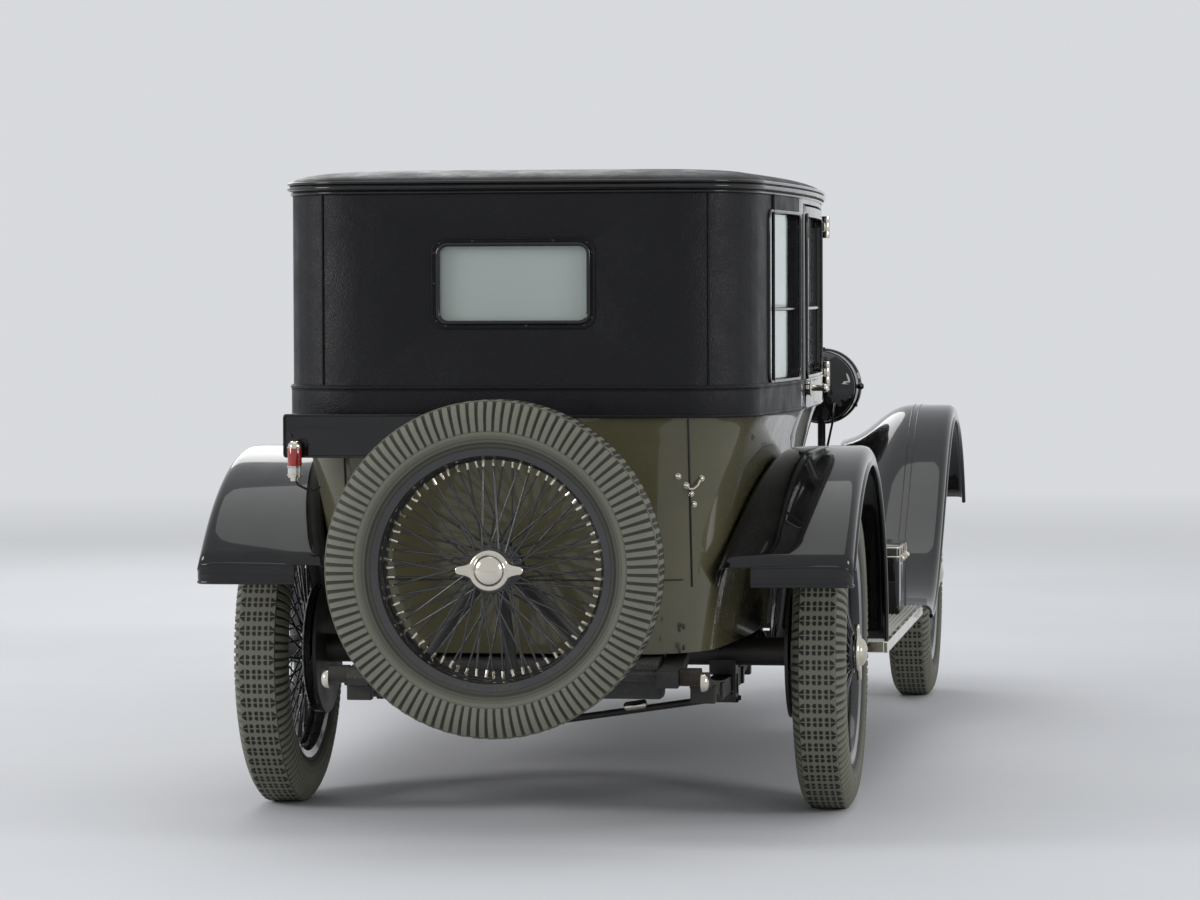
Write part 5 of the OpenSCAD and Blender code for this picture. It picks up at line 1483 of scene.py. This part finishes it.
def channels(ob, pitch, first):
    """Presses sewn channels into a cushion, spaced across the car."""
    normals = [v.normal.copy() for v in ob.data.vertices]
    for v, n in zip(ob.data.vertices, normals):
        off = (abs(v.co.y) - first) % pitch
        d = min(off, pitch - off)
        v.co -= n * SEWN_DEPTH * math.exp(-(d / SEWN_WIDTH) ** 2)


def cushion(low, high, hinge=None):
    """A cushion's starting shape: a bevelled block smaller than its space, leant back about a hinge point."""
    inset = Vector((PAD_INSET, PAD_INSET, PAD_INSET))
    ob = block(at(*(Vector(low) + inset)), at(*(Vector(high) - inset)), 0.035, 4)
    if hinge is not None:
        lean = Matrix.Rotation(SEAT_LEAN, 4, "Y")
        ob.data.transform(Matrix.Translation(hinge) @ lean @ Matrix.Translation(-hinge))
    return ob


def dial(c, q, rims, faces, hands):
    """One instrument: its rim, face and hand, of radius q round a place."""
    rims.append(turned([(q - 0.003, 0.001), (q - 0.003, 0.006), (q - 0.001, 0.008), (q + 0.003, 0.007),
                        (q + 0.005, 0.003), (q + 0.005, -0.001)], c, (-1, 0, 0), 40, True))
    faces.append(drum(c + Vector((-0.0015, 0, 0)), (1, 0, 0), q - 0.002, 0.003, 0, 40))
    hand = [(0.0012, -0.2 * q), (-0.0012, -0.2 * q), (0.3 * q - 0.0004, 0.7 * q), (0.3 * q + 0.0004, 0.7 * q)]
    hands.append(slab([c + Vector((-0.0035, y, z)) for y, z in hand], (-0.0008, 0, 0), 0))
    hands.append(ball(c + Vector((-0.0035, 0, 0)), 0.0035))


class CAR_OT_cabin(bpy.types.Operator):
    """Seats, dashboard with its dials, steering wheel and roof lamp"""
    bl_idname = "vintage_car.cabin"
    bl_label = "Cabin"

    def seat(self, node, name, pads, pitch, first, piping):
        for ob in pads:
            swell(ob)
            subdivide(ob, 1)
            channels(ob, pitch, first)
            smooth(ob, 180)
        seat = join(pads)
        low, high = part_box(node)
        for v in seat.data.vertices:
            v.co = Vector([min(max(v.co[i], low[i] + 0.001), high[i] - 0.001) for i in range(3)])
        fit(seat, "leather", name, node)
        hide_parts(node)
        fit(piping, "leather", name + "_piping", node)

    def seats(self):
        pads, piping = [], []
        for s in (1, -1):
            inner, outer = sorted((s * 50, s * 480))
            pads.append(cushion((376, inner, 661), (800, outer, 800)))
            pads.append(cushion((336, inner, 810), (441, outer, 1180), at(335, 0, 810)))
            piping += [ring_at(588, s * 265, z, 203, 206, 40, 0.004) for z in (672, 789)]
        self.seat("front_seats", "front_cushions", pads, 0.072, 0.049, piping)
        pads = [cushion((-480, -430, 661), (-40, 430, 790)),
                cushion((-495, -430, 800), (-385, 430, 1140), at(-475, 0, 800))]
        piping = [ring_at(-260, 0, z, 211, 421, 40, 0.004) for z in (671, 780)]
        self.seat("rear_seat", "rear_cushions", pads, 0.086, 0.0, piping)

    def dashboard(self):
        skin_of("dashboard", "dashboard_panel", "wood", width=0.002)
        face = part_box("dashboard")[0].x
        rims, faces, hands = [], [], []
        for y, z, r in DIALS:
            dial(Vector((face, y / 1000, z / 1000)), r / 1000, rims, faces, hands)
        fit(rims, "nickel", "dial_rims", "dashboard")
        fit(faces, "dial", "dial_faces", "dashboard")
        fit(hands, "seam", "dial_hands", "dashboard")

    def execute(self, context):
        self.seats()
        self.dashboard()
        wheel = skin_of("steering_wheel", "steering_wheel_rim", ("wood", "nickel"))
        hub = at(*WHEEL_HUB)
        tilt = Vector(WHEEL_TILT).normalized()
        paint_where(wheel, 1, lambda c: ((c - hub) - tilt * (c - hub).dot(tilt)).length < 0.187)
        fit(turned(BOSS, hub, -tilt, 40), "nickel", "steering_wheel_boss", "steering_wheel")
        ceiling = DRIP * 1000
        light = [turned([(0, -0.024), (0.02, -0.022), (0.038, -0.014), (0.045, -0.003), (0.045, 0.0)],
                        at(100, 0, ceiling + 2), (0, 0, 1)),
                 turned([(0.044, 0.0), (0.05, -0.001), (0.052, -0.005), (0.05, -0.009), (0.045, -0.009)],
                        at(100, 0, ceiling + 1), (0, 0, 1), 40, True)]
        fit(light, "dial", "roof_lamp", "roof")
        return {"FINISHED"}


def glass_bar(s, start, end):
    """The bar across a side window, just inside its glass."""
    return pipe(side_line(s, range(start, end, 40), 1265, -9), 0.0045)


class CAR_OT_glass(bpy.types.Operator):
    """Side glass, screen and the rear window's pale sheet, whose paleness is painted backlight"""
    bl_idname = "vintage_car.glass"
    bl_label = "Glass"

    def execute(self, context):
        fixed = skin_of("fixed_glass", "fixed_panes", ("glass", "pale"), sharp=20, width=0.0008)
        edge = at(-600, 0, 0).x
        # The rear pane gets the pale sheet, its colour painted light from behind.
        paint_where(fixed, 1, lambda c: c.x < edge)
        for side in ("left", "right"):
            skin_of("door_glass_" + side, "door_pane_" + side, "glass", sharp=20, width=0.0008)
        bars = [glass_bar(s, -398, 49) for s in (1, -1)]
        fit(bars, "black", "quarter_bars", "cabin_back")
        for side, s in (("left", 1), ("right", -1)):
            fit(glass_bar(s, 206, 937), "black", "door_bar_" + side, "door_" + side)
        return {"FINISHED"}


# ---------- stage ----------

PALE = 0.72
PALE_COLOUR = (0.95, 0.97, 1.0, 1)
SOFTBOXES = (((-6, 9, 4.5), 4.0, 420), ((-6, -10, 4), 4.0, 330), ((0.5, 0, 8.5), 7.0, 130), ((8, 3, 5), 5.0, 150))
AIM = (0, 0, 0.8)
CAMERA_AT = (-12.079, -1.659, 1.307)
CAMERA_YAW = 8.168
CAMERA_PITCH = -2.106
CAMERA_ROLL = -0.185
CAMERA_LENS = 128.27


def look(ob, place, way):
    ob.location = place
    ob.rotation_mode = "QUATERNION"
    ob.rotation_quaternion = way.to_track_quat("-Z", "Y")


def seen_rays(tree):
    """1 for the rays that see the surroundings directly, in a polished surface or through glass."""
    path = tree.nodes.new("ShaderNodeLightPath")
    seen = times(tree, path.outputs["Is Camera Ray"], path.outputs["Is Glossy Ray"], "ADD")
    return times(tree, seen, path.outputs["Is Transmission Ray"], "ADD")


class CAR_OT_stage(bpy.types.Operator):
    """Pale floor, soft lamps, pale surroundings and the camera"""
    bl_idname = "vintage_car.stage"
    bl_label = "Stage"

    def floor(self):
        floor = added("plane", size=120, location=(0, 0, 0))
        floor.name = "studio_floor"
        mat = bpy.data.materials.new("Studio floor")
        mat.use_nodes = True
        t = mat.node_tree
        shader = t.nodes["Principled BSDF"]
        where = t.nodes.new("ShaderNodeTexCoord").outputs["Object"]
        tone = ramp(t, noise(t, where, 0.6, 4.0), 0.3, 0.7)
        t.links.new(blend_colour(t, tone, (0.74, 0.75, 0.77), (0.7, 0.71, 0.735)), shader.inputs["Base Color"])
        shader.inputs["Roughness"].default_value = 0.85
        far = node(t, "ShaderNodeVectorMath", {0: where}, operation="LENGTH")
        glow = node(t, "ShaderNodeEmission", Strength=PALE, Color=PALE_COLOUR)
        away = times(t, seen_rays(t), ramp(t, far.outputs["Value"], 5, 16))
        mix = node(t, "ShaderNodeMixShader", {0: away, 1: shader.outputs[0], 2: glow.outputs[0]})
        t.links.new(mix.outputs[0], t.nodes["Material Output"].inputs["Surface"])
        floor.data.materials.append(mat)

    def surroundings(self, scene):
        scene.world = bpy.data.worlds.new("Studio")
        scene.world.use_nodes = True
        w = scene.world.node_tree
        back = w.nodes["Background"]
        level = node(w, "ShaderNodeMapRange", {"Value": seen_rays(w)}, To_Min=0.55, To_Max=PALE)
        w.links.new(level.outputs["Result"], back.inputs["Strength"])
        back.inputs["Color"].default_value = PALE_COLOUR

    def execute(self, context):
        scene = context.scene
        self.floor()
        self.surroundings(scene)
        for place, size, power in SOFTBOXES:
            lamp = bpy.data.lights.new("softbox", "AREA")
            lamp.shape = "DISK"
            lamp.size = size
            lamp.energy = power
            look(linked("softbox", lamp), place, Vector(AIM) - Vector(place))
        data = bpy.data.cameras.new("Camera")
        data.lens = CAMERA_LENS
        data.sensor_width = 36
        data.clip_end = 200
        camera = linked("Camera", data)
        yaw, pitch = math.radians(CAMERA_YAW), math.radians(CAMERA_PITCH)
        way = Vector((math.cos(pitch) * math.cos(yaw), math.cos(pitch) * math.sin(yaw), math.sin(pitch)))
        look(camera, CAMERA_AT, way)
        camera.rotation_quaternion @= Quaternion((0, 0, 1), math.radians(CAMERA_ROLL))
        scene.camera = camera
        scene.view_settings.view_transform = "Standard"
        return {"FINISHED"}


OPERATORS = (CAR_OT_chassis, CAR_OT_body, CAR_OT_roof, CAR_OT_doors, CAR_OT_bonnet, CAR_OT_radiator, CAR_OT_wings,
             CAR_OT_boards, CAR_OT_wheels, CAR_OT_tyres, CAR_OT_lamps, CAR_OT_fittings, CAR_OT_cabin, CAR_OT_glass,
             CAR_OT_stage)


class CAR_PT_parts(bpy.types.Panel):
    """Shows the car's settings and a button for each of its steps"""
    bl_idname = "CAR_PT_parts"
    bl_label = "Vintage car"
    bl_space_type = "VIEW_3D"
    bl_region_type = "UI"
    bl_category = "Vintage car"

    def draw(self, context):
        column = self.layout.column()
        for prop in CarOptions.bl_rna.properties:
            if prop.identifier not in ("rna_type", "name"):
                column.prop(context.scene.vintage_car, prop.identifier)
        for op in OPERATORS:
            column.operator(op.bl_idname)


CLASSES = (CarOptions, *OPERATORS, CAR_PT_parts)


def register():
    for c in CLASSES:
        bpy.utils.register_class(c)
    bpy.types.Scene.vintage_car = PointerProperty(type=CarOptions)


def unregister():
    del bpy.types.Scene.vintage_car
    for c in reversed(CLASSES):
        bpy.utils.unregister_class(c)


def main():
    register()
    make_materials()
    for op in OPERATORS:
        group_name, name = op.bl_idname.split(".")
        getattr(getattr(bpy.ops, group_name), name)()


if __name__ == "__main__":
    main()
